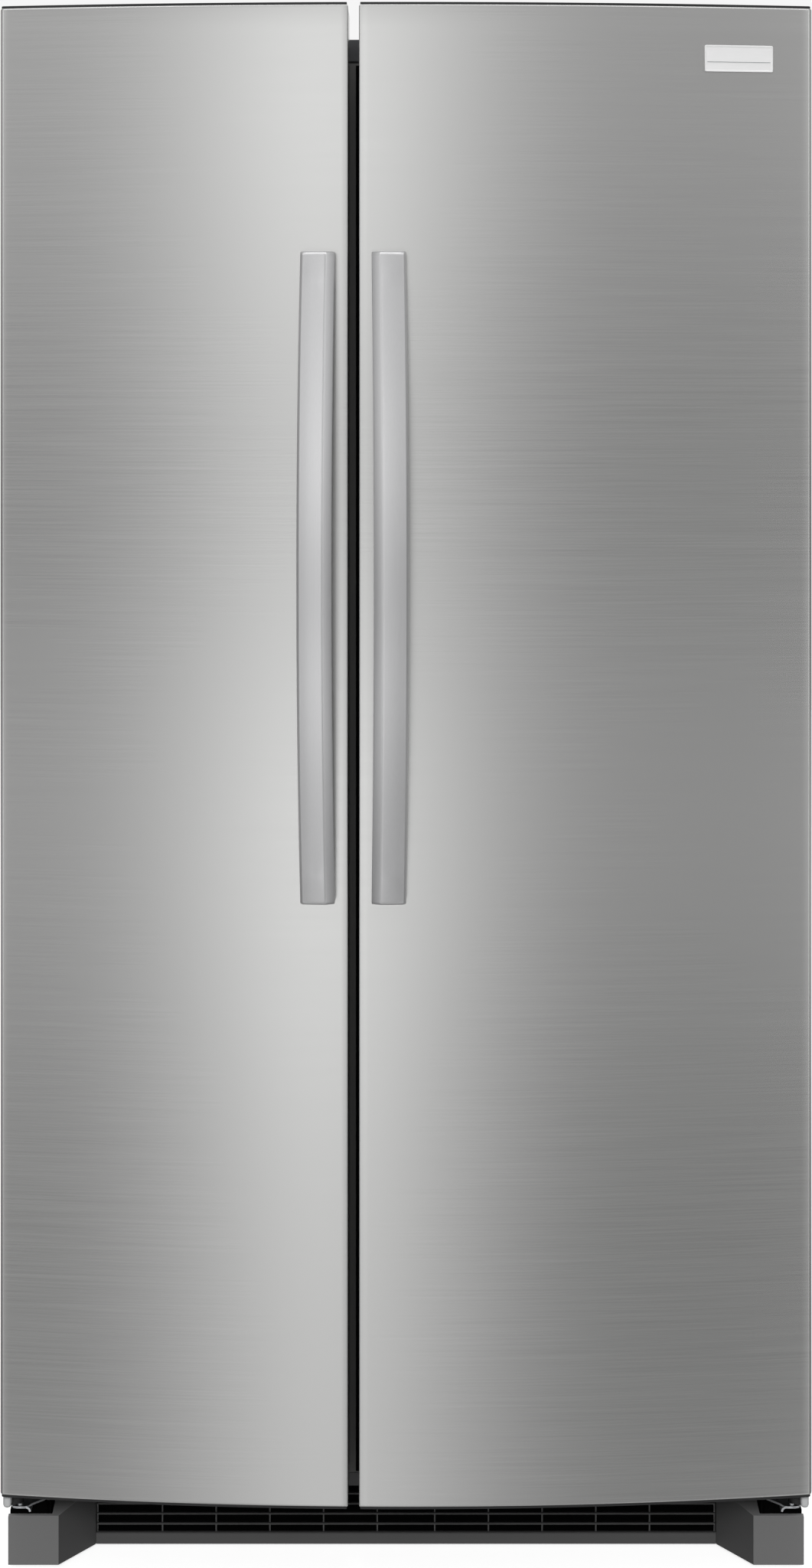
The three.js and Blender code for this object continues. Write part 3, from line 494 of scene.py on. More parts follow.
def door_liner(name, door):
    """The thermoformed inner panel: a flat sheet and a rounded ridge that carries the bins."""
    x0, x1 = span(door["free"], door["hinge"])
    s = door["side"]
    zt = DOOR_Z[1] - 4.4
    outline = rounded((x0 + 3, x1 - 3), (104.4, zt), 6)
    inner = door["hinge"] - s * (NOTCH_IN + 1)
    edge = x1 - 3 if s > 0 else x0 + 3
    clipped = [p for p in outline if not (abs(p[0]) > abs(inner) and p[1] > NOTCH_Z)]
    cut = [(edge, NOTCH_Z), (inner, NOTCH_Z), (inner, zt)]
    joined = cut + clipped if s > 0 else clipped
    if s < 0:
        place = next(i for i, p in enumerate(clipped) if abs(p[0]) > abs(inner) and p[1] < 300)
        joined = clipped[:place] + cut[::-1] + clipped[place:]
    made = Build().prism("y", joined, DOOR_BACK - 2.2, DOOR_BACK)
    made.make(f"{name}_door_inner_panel", WHITE, door["body"], bevel=0.6, angle=50,
              replaces=f"{door['prefix']}_liner")
    d0, d1 = door["dyke"]
    profile = [(0, 0.2), (1.5, 24), (3, 31), (6, 34.6), (10, 36), (13, 35.2), (16, 32),
               (17.6, 26), (20, 0.2)]
    ridge = Build().pad("y", (d0, d1), (158, 1692), 30, 7,
                        [(inset, DOOR_BACK + height) for inset, height in profile],
                        nested=True, closed=True)
    ridge.make(f"{name}_door_ridge", WHITE, door["body"], angle=60)


def door_gasket(name, door):
    """The magnetic seal: a bellows ring that ends in a flat magnet strip."""
    s = door["side"]
    x = span(s * (HINGE_X - 5), door["free"] + s * 6)
    profile = [(0, 10.9), (0.6, 11.2), (15.4, 11.2), (16, 10.9), (16, 6.8), (14.6, 6.0), (13.4, 4.6),
               (14.8, 3.2), (14.8, 0.4), (3, 0.4), (3, 2.6), (1.6, 3.4), (3.0, 4.6), (1.4, 6.0), (0, 6.8)]
    seal = Build().pad("y", x, (108, 1740), 18, 5, [(inset, DOOR_BACK + out) for inset, out in profile],
                       nested=True, closed=True)
    seal.make(f"{name}_door_seal", SEAL, door["body"], angle=40, replaces=f"{door['prefix']}_gasket")


HANDLE = {"z": (777.0, 1500.0), "width": 38.4, "bow": 36.8, "lean": 3.0, "edge": 14.2}


def door_handle(name, door):
    """The arched pull: a broad crowned facet, a ridge, and a bevel on the side by the gap."""
    s, half = door["side"], HANDLE["width"] / 2
    centre = door["free"] + s * (HANDLE["edge"] + half)
    base = arc_y(max(0.0, abs(centre) - half)) - 0.4
    section = [(-half + 1.5, 0), (half - 1.5, 0), (half, 1.5), (half, 18.4), (half - 0.7, 19.4),
               (10.4, 24.3), (9.0, 24.8), (7.4, 24.8), (1.0, 24.5), (-6.0, 23.9), (-12.0, 23.2),
               (-16.4, 22.3), (-17.8, 20.9), (-half, 17.6), (-half, 1.5)]
    z0, z1 = HANDLE["z"]
    stops = [0.0, 0.001, 0.0025, 0.0045, 0.007] + [0.01 + 0.98 * i / 60 for i in range(61)]
    stops += [1 - t for t in (0.007, 0.0045, 0.0025, 0.001, 0.0)]
    rings = []
    for t in stops:
        along = 2 * t - 1
        arch = 1 - along * along
        foot = min(max((0.93 - abs(along)) / 0.06, 0.0), 1.0)
        lift = HANDLE["bow"] * arch * foot * foot * (3 - 2 * foot)
        from_end = min(t, 1 - t) * (z1 - z0)
        shave = 4.0 - math.sqrt(max(16.0 - max(4.0 - from_end, 0.0) ** 2, 0.0))
        ring = []
        for across, out in section:
            height = (out + HANDLE["bow"] * arch - shave) if out > 2 else (out + lift)
            narrow = across * (1 - 0.25 * shave / half)
            ring.append((centre + s * (HANDLE["lean"] * arch - narrow), base - height,
                         z0 + (z1 - z0) * t))
        rings.append(ring)
    Build().loft(rings).make(f"{name}_pull_handle", GRIP, door["body"], angle=28,
                             replaces=f"{door['prefix']}_handle")


def door_bins(name, door):
    """Clear bins on the ridge, each with a moulded rail along its open side."""
    d0, d1 = door["dyke"]
    x = (d0 + 21, d1 - 21)
    for level, z in door["bins"].items():
        node = f"{name}_bin_{level}"
        bin_ = Build().tub(x, (DOOR_BACK + 0.6, BIN_BACK), z, 2.6, 16, 7, draft=3, lip=2)
        bin_.make(f"{name}_door_bin_{level}", CLEAR, door["body"], angle=40, replaces=node)
        rail = Build()
        rail.loft([[(px, BIN_BACK - 2.2 - a, b) for a, b in
                    rounded((0, 1.6), (z[1] - 34, z[1] - 8), 0.7, 2)]
                   for px in (x[0] + 20, x[1] - 20)])
        rail.make(f"{name}_door_bin_{level}_band", SATIN_WHITE, door["body"])
        lugs = Build()
        for px, out in ((d0 + 18.6, 1), (d1 - 18.6, -1)):
            lugs.box(span(px, px + out * 2.2), (DOOR_BACK + 6, DOOR_BACK + 30), (z[0] + 18, z[0] + 52))
        lugs.make(f"{name}_door_bin_{level}_lugs", WHITE, door["body"], bevel=0.8)


for door_name, door_facts in DOORS.items():
    for part in (door_skin, door_caps, door_core, door_liner, door_gasket, door_handle, door_bins):
        part(door_name, door_facts)

# The blank nameplate: a thin satin plate with a raised rim and one dividing line.
PLATE_X, PLATE_Z = 373.4, 1718.0


def nameplate():
    def ring(inset, out):
        path = rounded((PLATE_X - 39 + inset, PLATE_X + 39 - inset),
                       (PLATE_Z - 15 + inset, PLATE_Z + 15 - inset), max(2.0 - inset, 0.3), 3)
        return [(a, arc_y(a) - 0.3 - out, b) for a, b in path]

    rings = [ring(0, 0), ring(0, 1.6), ring(0.5, 2.3), ring(1.6, 2.3), ring(2.0, 1.9)]
    Build().loft(rings).make("nameplate_blank", PLATE, "fresh_food_door", angle=25, replaces="nameplate")
    line = [(PLATE_X - 36, -3.4), (PLATE_X + 36, -3.4), (PLATE_X + 36, -4.2), (PLATE_X - 36, -4.2)]
    made = Build().loft([[(a, arc_y(a) - out, PLATE_Z + b) for a, b in line] for out in (2.0, 2.55)])
    made.make("nameplate_divider", ALUMINIUM, "fresh_food_door")


nameplate()

# ---- Cabinet shell ----

for node in ("side_panel_left", "side_panel_right", "top_panel"):
    dress(node, PAINT, 0.5)
# The mullion gets the lightened dark trim, painted light for the shaded gap.
dress("mullion_strip", GAP_TRIM_PAINTED_LIGHT, 0.4)
# A dark backing that closes the seam above the mullion; its dark colour is painted shadow for the seam.
seam = Build().box((-88, -29), (-263.46, -263.16), (1712, 1736))
seam.make("mullion_seam_shadow_backing", TRIM)
# A matt black strip along the right edge of the door gap: painted shadow where the gap falls into shade
# beside the mullion.
strip = Build().prism("z", [(-57.6, -265.2), (-57.6, -266.2), (-57.0, -266.8), (-52.6, -266.8),
                            (-52.0, -266.2), (-52.0, -265.2)], 104, 1720)
strip.make("mullion_painted_shadow_strip", SHADE_BLACK)
dress("insulation_foam", FOAM)
dress("base_frame", BLACK)
dress("condenser_fan_shroud", BLACK)


def back_panel():
    """A galvanised sheet with a hemmed edge and stamped upright beads."""
    made = Build().box((-454.6, 454.6), (434.1, 434.8), (300.5, 1749.5))
    made.make("rear_sheet", GALVANISED, replaces="back_panel")
    hem = Build()
    hem.box((-454.6, -440), (434.9, 435.5), (301, 1749))
    hem.box((440, 454.6), (434.9, 435.5), (301, 1749))
    hem.box((-439.8, 439.8), (434.9, 435.5), (1735, 1749))
    hem.box((-439.8, 439.8), (434.9, 435.5), (301, 315))
    hem.make("rear_sheet_hem", GALVANISED, bevel=0.2)
    beads = Build()
    for x in (-300, -100, 100, 300):
        beads.pad("y", (x - 22, x + 22), (400, 1650), 22, 6,
                  ((0, 434.8), (2.5, 435.1), (6, 435.7), (9, 435.9)), nested=True)
    beads.make("rear_sheet_beads", GALVANISED, angle=50)
    places = [(x, 435.5, z) for x in (-447, 447) for z in range(340, 1740, 200)]
    places += [(x, 435.5, z) for x in range(-350, 351, 140) for z in (308, 1742)]
    flat_screws("rear_sheet_screws", places)


def flat_screws(name, places, r=4.0):
    """Low pan heads on a face that looks back."""
    made = Build()
    for x, y, z in places:
        made.turn("y", (x, z), [(0, y - 0.1), (r, y - 0.1), (r * 0.85, y + 0.3), (0, y + 0.4)], 14)
    made.make(name, ZINC, angle=40)


def machine_cover():
    """The louvred cover over the compressor, and the inlet for a supply lead."""
    holes, fins = [], Build()
    for x in (-386, -230, 74, 230):
        for row in range(10):
            z = 104 + row * 17.5
            holes.append(((x, x + 148), (z, z + 7)))
            fins.loft([[(px, 427.5, z + 6), (px, 434.0, z + 1.0), (px, 434.0, z + 0.2),
                        (px, 427.5, z + 5.2)] for px in (x, x + 148)])
    holes.append(((396, 440), (76, 106)))
    made = sheet((-448, 448), (66.5, 299), holes, 435.4)
    cover = made.make("machine_cover_sheet", GALVANISED, solidify=1.0,
                      face=(0, 1, 0), replaces="machine_cover")
    cover.data.shade_flat()
    fins.make("machine_cover_louvres", GALVANISED)
    inlet = Build().pad("y", (396.5, 439.5), (76.5, 105.5), 3, 3,
                        ((0, 418), (0, 435.6), (3, 435.6), (3, 421), (12, 421)))
    inlet.make("supply_inlet", RUBBER, angle=25)
    pins = Build()
    for x in (408, 418, 428):
        pins.box((x - 1, x + 1), (421, 431), (88, 94))
    pins.make("supply_inlet_pins", ZINC, bevel=0.3)
    places = [(x, 435.4, z) for x in (-440, 440) for z in (130, 290)]
    places += [(x, 435.4, z) for x in (-300, 0, 300) for z in (72, 293)]
    flat_screws("machine_cover_screws", places, 4.5)


back_panel()
machine_cover()


def hinge_cover(name, s):
    """A moulded cap with a rounded lid over each top hinge."""
    def plan(inset):
        outer, wide, slim = 8 - inset, 110 - inset, 46 - inset
        front, mid, rear = -318 + inset, -262 + inset, -150 - inset
        r = max(6 - inset * 0.4, 1.5)
        points = arc(outer - r, front + r, r, -90, 0, 4)
        points += arc(outer - r, rear - r, r, 0, 90, 4)
        points += arc(-wide + r, rear - r, r, 90, 180, 4)
        points += arc(-wide + r, mid + r, r, 180, 270, 4)
        points += arc(-slim - 4, mid - 4, 4, 90, 0, 3)
        points += arc(-slim + r, front + r, r, 180, 270, 4)
        return [(s * (HINGE_X + a), b) for a, b in points]

    z = CAB_TOP + 4.6
    levels = [(0, z), (0.4, z + 15), (1.2, z + 18.4), (3.2, z + 20.2), (6.5, z + 20.8)]
    rings = [[(a, b, h) for a, b in plan(inset)] for inset, h in levels]
    Build().loft(rings).make(f"hinge_cap_{name}", TRIM, angle=40, replaces=f"hinge_cover_{name}")
    boss = Build()
    boss.turn("z", (s * 375, -200), [(0, z + 20.2), (8, z + 20.2), (7.4, z + 21.2),
                                     (5.4, z + 21.2), (5.0, z + 20.6), (0, z + 20.6)], 24)
    boss.make(f"hinge_cap_screw_{name}", ZINC, angle=30)


def upper_hinge(name, s):
    """A pressed steel hinge plate with its pin."""
    nose = [(8, -316), (8, -165), (-95, -165), (-95, -262), (-40, -262), (-40, -316)]
    outline = [(s * (HINGE_X + a), b) for a, b in nose]
    made = Build().prism("z", outline, CAB_TOP + 0.4, CAB_TOP + 4)
    made.make(f"top_hinge_plate_{name}", ZINC, bevel=1.2, angle=40, replaces=f"upper_hinge_{name}")
    pin = Build().rod("z", (s * HINGE_X, HINGE_Y), 5, 1723, CAB_TOP + 4.5, 24, 1.0)
    pin.make(f"top_hinge_pin_{name}", ZINC, angle=30)


def lower_hinge(name, s):
    """The bottom hinge: a bent plate, its pin, the closing cam and the black carrier below it."""
    nose = [(3, -309), (1, -314), (-4, -316), (-13, -316), (-17, -313), (-20, -306), (-33, -290),
            (-35, -284), (-36, -176), (3, -176)]
    outline = [(s * (HINGE_X + a), b) for a, b in nose]
    plate = Build().prism("z", outline, 79.2, 82.4)
    plate.make(f"bottom_hinge_plate_{name}", ZINC, bevel=0.9, angle=40, replaces=f"lower_hinge_{name}")
    lip = [(-12.6, 82.2), (-16.1, 81.4), (-19.0, 79.0), (-20.0, 75.6), (-17.6, 75.2),
           (-16.8, 77.6), (-15.2, 78.8), (-12.6, 79.4)]
    bend = Build().prism("y", [(s * (HINGE_X + a), b) for a, b in lip], -315, -300)
    bend.make(f"bottom_hinge_lip_{name}", ZINC, bevel=0.4, angle=50)
    pin = Build().rod("z", (s * HINGE_X, HINGE_Y), 5, 79, 124, 24, 1.0)
    pin.turn("z", (s * (HINGE_X - 7), HINGE_Y - 6), [(0, 82.4), (3.4, 82.4), (3.4, 84.4),
                                                    (2.4, 85.4), (0, 85.4)], 14)
    pin.make(f"bottom_hinge_pin_{name}", ZINC, angle=30)
    sleeve = Build().ring("z", (s * HINGE_X, HINGE_Y),
                          [(5.4, 82.8), (9.4, 82.8), (10.4, 84), (10.4, 90), (5.4, 90)], 28)
    sleeve.make(f"closing_cam_lower_{name}", TRIM, angle=35)
    cam = Build().ring("z", (s * HINGE_X, HINGE_Y),
                       [(5.4, 90.4), (10.4, 90.4), (10.4, 96), (9.4, 99.6), (5.4, 99.6)], 28)
    door = "freezer_door" if s < 0 else "fresh_food_door"
    cam.make(f"closing_cam_upper_{name}", TRIM, door, angle=35)
    knob = Build()
    knob.loft([[(s * a, b, z) for a, b in rounded((446.5 + g, 455.6 - g), (-326 + g, -305 - g),
                                                 3.6 - g * 0.5, 4)]
               for g, z in ((2.6, 83.4), (1.0, 84.4), (0, 87), (0, 99.6))])
    knob.make(f"door_stop_{name}", SATIN_WHITE, door, angle=50)
    bolt, place = Build(), (s * (HINGE_X - 16), -270)
    bolt.turn("z", place, [(0, 82.4), (5.4, 82.4), (5.4, 83.1), (4, 83.5), (0, 83.5)], 20)
    bolt.turn("z", place, [(0, 83.3), (3.68, 83.3), (3.68, 85.4), (2.8, 86), (0, 86)], 6)
    bolt.make(f"bottom_hinge_bolts_{name}", ZINC, angle=25)
    # The black carrier under the hinge; its near-black tone is partly painted shade from the door above
    # it.
    body = [[(s * a, y, z) for a, y in rounded((409 + g, 453.6 - k), (-281 + g, -256), 3, 3)]
            for g, k, z in ((0, 0, 47), (0, 0, 64), (2, 1.5, 71), (5, 4.5, 78.2))]
    carrier = Build().loft(body)
    carrier.box(span(s * 448, s * 452.4), (-258, -140), (47, 79))
    carrier.make(f"hinge_carrier_{name}", SHADE_BLACK, angle=40)
    # Near-black plates closing the slits beside the lower hinge and behind the leg cover: painted shade
    # where these gaps would show the backdrop.
    filler = Build().box(span(s * 394, s * 426), (-267.8, -265.4), (83.4, 99.4))
    filler.box(span(s * 362, s * 448.5), (-168.6, -166.8), (10, 86.4))
    filler.make(f"corner_shadow_fillers_{name}", SHADE_BLACK, bevel=0.4)


both(hinge_cover)
both(upper_hinge)
both(lower_hinge)

# ---- Plinth ----


def leg_cover(name, s):
    """A corner shell: flat face, outer side, a wall that runs back to the grille, sloping roof."""
    def roof(y):
        return 60.4 + 11.6 * min((y + 287) / 61, 1.0)

    plan = [(455, -170), (455, -282), (455, -287), (405, -287), (397.2, -287), (361, -226), (361, -170)]
    made = Build()
    tops = [50, 50] + [roof(y) for _, y in plan[2:]]
    for x, y in plan:
        made.verts.append((s * x, y, 4.0))
    for (x, y), z in zip(plan, tops):
        made.verts.append((s * x, y, z))
    n = len(plan)
    inner = [(405, -170), (405, -226), (405, -282), (455, -282)]
    for x, y in inner:
        made.verts.append((s * x, y, roof(y)))
    for k in range(n - 1):
        made.faces.append([k, k + 1, n + k + 1, n + k])
    a, b, c, d = range(2 * n, 2 * n + 4)
    made.faces.append([n + 2, n + 3, c, d])
    made.faces.append([n + 3, n + 4, n + 5, b, c])
    made.faces.append([n + 5, n + 6, a, b])
    cover = made.make(f"leg_cover_shell_{name}", GREY, solidify=2.2, face=(0, -1, 0),
                      replaces=f"leg_cover_{name}")
    # The faces that look inwards, the wall that runs back under the doors, get the darker plinth plastic:
    # painted shade, as the shell is one grey moulding.
    cover.data.materials.append(PLINTH_AND_WALL_SHADE)
    for polygon in cover.data.polygons:
        painted_shade_face = polygon.normal.x * s < -0.5
        polygon.material_index = 1 if painted_shade_face else 0
    add_bevel(cover, 1.0, 25)


BAR_PITCH, RIB_PITCH = 11.7, 62.6


def toe_grille():
    """Slim bars and upright ribs between a deep bottom rail and a slim top rail."""
    made = Build()
    made.prism("x", [(-226, 5.2), (-224.8, 4.0), (-220.5, 4.0), (-220.5, 17.4), (-225.2, 17.4),
                     (-226, 16.4)], -360.8, 360.8)
    made.box((-360, 360), (-225, -220.5), (72, 78.6))
    for z in (27.1 + i * BAR_PITCH for i in range(4)):
        made.prism("x", [(-224.8, z - 0.5), (-224.3, z - 0.8), (-221, z - 0.8), (-221, z + 0.8),
                         (-224.3, z + 0.8), (-224.8, z + 0.5)], -359.6, 359.6)
    for i in range(-5, 5):
        x = (i + 0.5) * RIB_PITCH + math.copysign(2.2, i + 0.5)
        made.box((x - 0.8, x + 0.8), (-220.8, -217.5), (14, 74))
    made.make("toe_grille_bars", PLINTH_AND_WALL_SHADE, replaces="toe_grille")
    # A matt near-black sheet behind the grille: painted shade for the dark space under the cabinet.
    baffle = Build().box((-360.4, 360.4), (-206, -204), (7, 86))
    baffle.make("air_baffle_painted_shade", SHADE_BLACK, bevel=0.3)


def levelling_leg(name, s):
    """A zinc screw with rolled threads, a hexagon and a rubber-soled foot."""
    centre = (s * 426, -252)
    thread = [(4.2 if i % 2 else 5.0, 20 + i * 0.9) for i in range(64)]
    made = Build()
    made.turn("z", centre, [(0, 2.4), (15.4, 2.4), (16, 3.2), (16, 5.4), (11, 8.6), (9, 9.4), (0, 9.4)],
              32)
    made.turn("z", centre, [(0, 9.5), (9.2, 9.5), (10, 10.4), (10, 17.2), (9.2, 18), (0, 18)], 6)
    made.turn("z", centre, [(0, 18.1), (4.2, 18.1)] + thread + [(3.6, 77.4), (0, 77.4)], 20)
    made.make(f"levelling_screw_{name}", ZINC, f"levelling_leg_{name}", angle=25,
              replaces=f"levelling_leg_{name}")
    sole = Build().turn("z", centre, [(0, 0), (14.6, 0), (15.4, 0.8), (15.4, 2.2), (0, 2.2)], 32)
    sole.make(f"levelling_sole_{name}", RUBBER, f"levelling_leg_{name}", angle=35)


def rear_roller(name, s):
    x, centre = s * 405, (380, 22)
    tread = [(5.6, x - 10), (20.5, x - 10), (22, x - 8.6), (22, x - 2.4), (21.3, x - 1.6),
             (21.3, x + 1.6), (22, x + 2.4), (22, x + 8.6), (20.5, x + 10), (5.6, x + 10)]
    made = Build().ring("x", centre, tread, 40)
    made.make(f"roller_wheel_{name}", SATIN_WHITE, f"rear_roller_{name}", angle=30,
              replaces=f"rear_roller_{name}")
    spokes = Build()
    for side in (-1, 1):
        for k in range(6):
            t = math.radians(60 * k)
            p = [(x + side * 10.2, 380 + r * math.cos(t), 22 + r * math.sin(t)) for r in (8, 18)]
            spokes.tube(p, 1.0, 6)
    spokes.make(f"roller_ribs_{name}", SATIN_WHITE, f"rear_roller_{name}")


both(leg_cover)
toe_grille()
both(levelling_leg)
both(rear_roller)

# ---- Compartments ----


def room_liner(name, x, node):
    """The moulded tub of a compartment, with soft corners, and the flange round its mouth."""
    x0, x1 = x
    profile = [(CAB_FRONT, ROOM_Z[0]), (HUMP_Y, ROOM_Z[0]), (HUMP_Y, HUMP_Z),
               (ROOM_BACK, HUMP_Z), (ROOM_BACK, ROOM_Z[1]), (CAB_FRONT, ROOM_Z[1])]
    made = Build()
    made.verts = [(px, y, z) for px in (x0, x1) for y, z in profile]
    made.faces = [[k, k + 1, k + 7, k + 6] for k in range(5)]
    made.faces += [list(range(6)), list(range(6, 12))[::-1]]
    border = [(x0 - 2.8, 102.0), (x1 + 2.8, 102.0), (x1 + 2.8, 1724.9), (x0 - 2.8, 1724.9)]
    made.verts += [(a, CAB_FRONT, b) for a, b in border]
    made.faces += [[0, 6, 13, 12], [6, 11, 14, 13], [11, 5, 15, 14], [5, 0, 12, 15]]
    obj = made.make(f"{name}_tub", WHITE, face=(0, -1, 0), replaces=node)
    weight = obj.data.attributes.new("bevel_weight_edge", "FLOAT", "EDGE")
    for edge in obj.data.edges:
        a, b = (obj.data.vertices[i].co / MM for i in edge.vertices)
        inside = max(a.y, b.y) > CAB_FRONT + 1
        mouth = all(x0 - 0.1 <= p.x <= x1 + 0.1 and ROOM_Z[0] - 0.1 <= p.z <= ROOM_Z[1] + 0.1
                    for p in (a, b))
        weight.data[edge.index].value = 1.0 if inside else 0.3 if mouth else 0.0
    soft = obj.modifiers.new("corners", "BEVEL")
    soft.width, soft.segments, soft.limit_method = 13 * MM, 5, "WEIGHT"
    wall = obj.modifiers.new("wall", "SOLIDIFY")
    wall.thickness, wall.offset = 2.1 * MM, -1.0
    flat = obj.modifiers.new("normals", "WEIGHTED_NORMAL")
    flat.weight = 100


room_liner("freezer", DOORS["freezer"]["room"], "freezer_liner")
room_liner("fresh_food", DOORS["fresh"]["room"], "fresh_food_liner")


def ledge_rows(name, x, heights):
    """Moulded ledges on both side walls, in pairs, for shelves and drawers to rest on."""
    made = Build()
    for z in heights:
        for wall, out in ((x[0], 1), (x[1], -1)):
            made.pad("x", LEDGE_Y, (z - 7, z), 3.0, 3,
                     sorted(((0, wall + out * 0.2), (1.5, wall + out * 7.5)), key=lambda e: e[1]))
    made.make(name, WHITE, angle=40)


def wire_shelf(node, x, y, z):
    """A coated wire shelf: border, cross wires, and close bars from front to back."""
    made = Build()
    (x0, x1), (y0, y1), r = x, y, 2.4
    border = [(a, b, z + 2.5) for a, b in rounded((x0 + r, x1 - r), (y0 + r, y1 - r), 9, 5)]
    made.tube(border, r, 10, closed=True)
    for t in (0.2, 0.5, 0.8):
        py = y0 + (y1 - y0) * t
        made.tube([(x0 + r, py, z + 1.4), (x1 - r, py, z + 1.4)], 1.6, 8)
    count = 19
    for i in range(1, count):
        px = x0 + (x1 - x0) * i / count
        made.tube([(px, y0 + r, z + 2.4), (px, y0 + 6, z + 3.6), (px, y1 - 6, z + 3.6),
                   (px, y1 - r, z + 2.4)], 1.4, 8)
    made.make(f"{node}_wires", COAT, angle=60, replaces=node)


FREEZER_X = (-400.0, -91.0)
wire_shelf("freezer_shelf_lower", FREEZER_X, (SHELF_FRONT, 280), 600)
wire_shelf("freezer_shelf_upper", FREEZER_X, (SHELF_FRONT, 280), 880)
ledge_rows("freezer_ledges", DOORS["freezer"]["room"], (345, 600, 740, 880, 1130, 1398))


def glass_shelf(name, z):
    """A pane in a moulded rim, with a deeper rolled trim along the front."""
    x0, x1, y0, y1 = -26.0, 405.0, SHELF_FRONT, 330.0
    rim = Build()
    front = [(y0 + 1.5, z), (y0 + 20, z), (y0 + 20, z + 7.6), (y0 + 14, z + 13), (y0 + 9, z + 15.4),
             (y0 + 4, z + 16), (y0 + 1.2, z + 14.6), (y0, z + 11.5), (y0, z + 2)]
    rim.prism("x", front, x0, x1)
    rim.prism("x", [(y1 - 12, z + 3), (y1, z + 3), (y1, z + 15), (y1 - 2, z + 16), (y1 - 12, z + 12.6)],
              x0, x1)
    for a in (x0, x1 - 11):
        rim.box((a, a + 11), (y0 + 20.2, y1 - 12.2), (z + 1, z + 13))
    rim.make(f"{name}_rim", SATIN_WHITE, bevel=0.8, angle=35, replaces=name)
    pane = Build().box((x0 + 5, x1 - 5), (y0 + 14, y1 - 8), (z + 8.2, z + 12.2))
    pane.make(f"{name}_pane", GLASS, bevel=0.5)


glass_shelf("crisper_shelf", 540)
glass_shelf("glass_shelf_lower", 900)
glass_shelf("glass_shelf_upper", 1250)
ledge_rows("fresh_food_ledges", DOORS["fresh"]["room"], (345, 539))


def shelf_tracks():
    """Slotted steel tracks up the rear wall and the bracket arms that carry the glass shelves."""
    for side, x in (("left", 60), ("right", 316)):
        holes = [((x + a, x + a + 3), (z, z + 12)) for a in (4, 13) for z in range(600, 1620, 24)]
        track = sheet((x, x + 20), (590, 1636), holes, 362).make(
            f"shelf_track_{side}", COAT, solidify=1.5, face=(0, -1, 0))
        track.data.shade_flat()
        spacer = Build().box((x + 1, x + 19), (363.8, 369.6), (594, 1632))
        spacer.make(f"shelf_track_base_{side}", TRIM)
        arms = Build()
        for z in (900, 1250):
            profile = [(361, z - 42), (361, z - 0.4), (-60, z - 0.4), (-60, z - 8), (120, z - 12),
                       (300, z - 30)]
            arms.prism("x", profile, x + 9, x + 11)
        arms.make(f"shelf_arms_{side}", COAT, bevel=0.4)


shelf_tracks()


def air_duct():
    """The moulded air channel in the middle of the rear wall, with its outlet slots painted on as dark
    shaded pads.
    """
    duct = Build().pad("y", (128, 252), (620, 1640), 14, 4,
                       ((0, 369.4), (0, 360), (2, 355), (6, 352), (12, 350.5)))
    duct.make("air_channel", WHITE, angle=40)
    # Dark pads on the duct's face: painted shade for outlet slots that are not cut through.
    slots = Build()
    for z in (720, 980, 1130, 1400, 1540):
        for k in range(3):
            slots.pad("y", (150, 230), (z + k * 12, z + k * 12 + 5), 2.4, 3, ((0, 350.2), (0, 352)))
    slots.make("air_channel_slot_shadows", TRIM)


air_duct()


def drawer(name, x, y, z, made_of):
    """A sliding drawer: a thin-walled tub and a front rail to pull it by."""
    tub = Build().tub(x, y, z, 2.6, 14, 9, draft=2.0, lip=3.0)
    tub.make(f"{name}_tub", made_of, name, angle=40, replaces=name)
    front = y[0]
    rail = [(front, z[1] - 30), (front, z[1] - 4), (front + 2.5, z[1] - 0.6), (front + 15, z[1] - 0.6),
            (front + 15, z[1] - 4), (front + 4, z[1] - 6), (front + 4, z[1] - 26), (front + 2, z[1] - 31)]
    made = Build().prism("x", rail, x[0] + 14, x[1] - 14)
    made.make(f"{name}_front_rail", SATIN_WHITE, name, bevel=0.8, angle=30)


drawer("crisper_upper", (-21, 400), (DRAWER_FRONT, 300), (352, 530), CLEAR)
drawer("crisper_lower", (-21, 400), (DRAWER_FRONT, 140), (156, 330), CLEAR)
drawer("ice_bin", (-392, -99), (DRAWER_FRONT, 272), (1400, 1555), FROST)


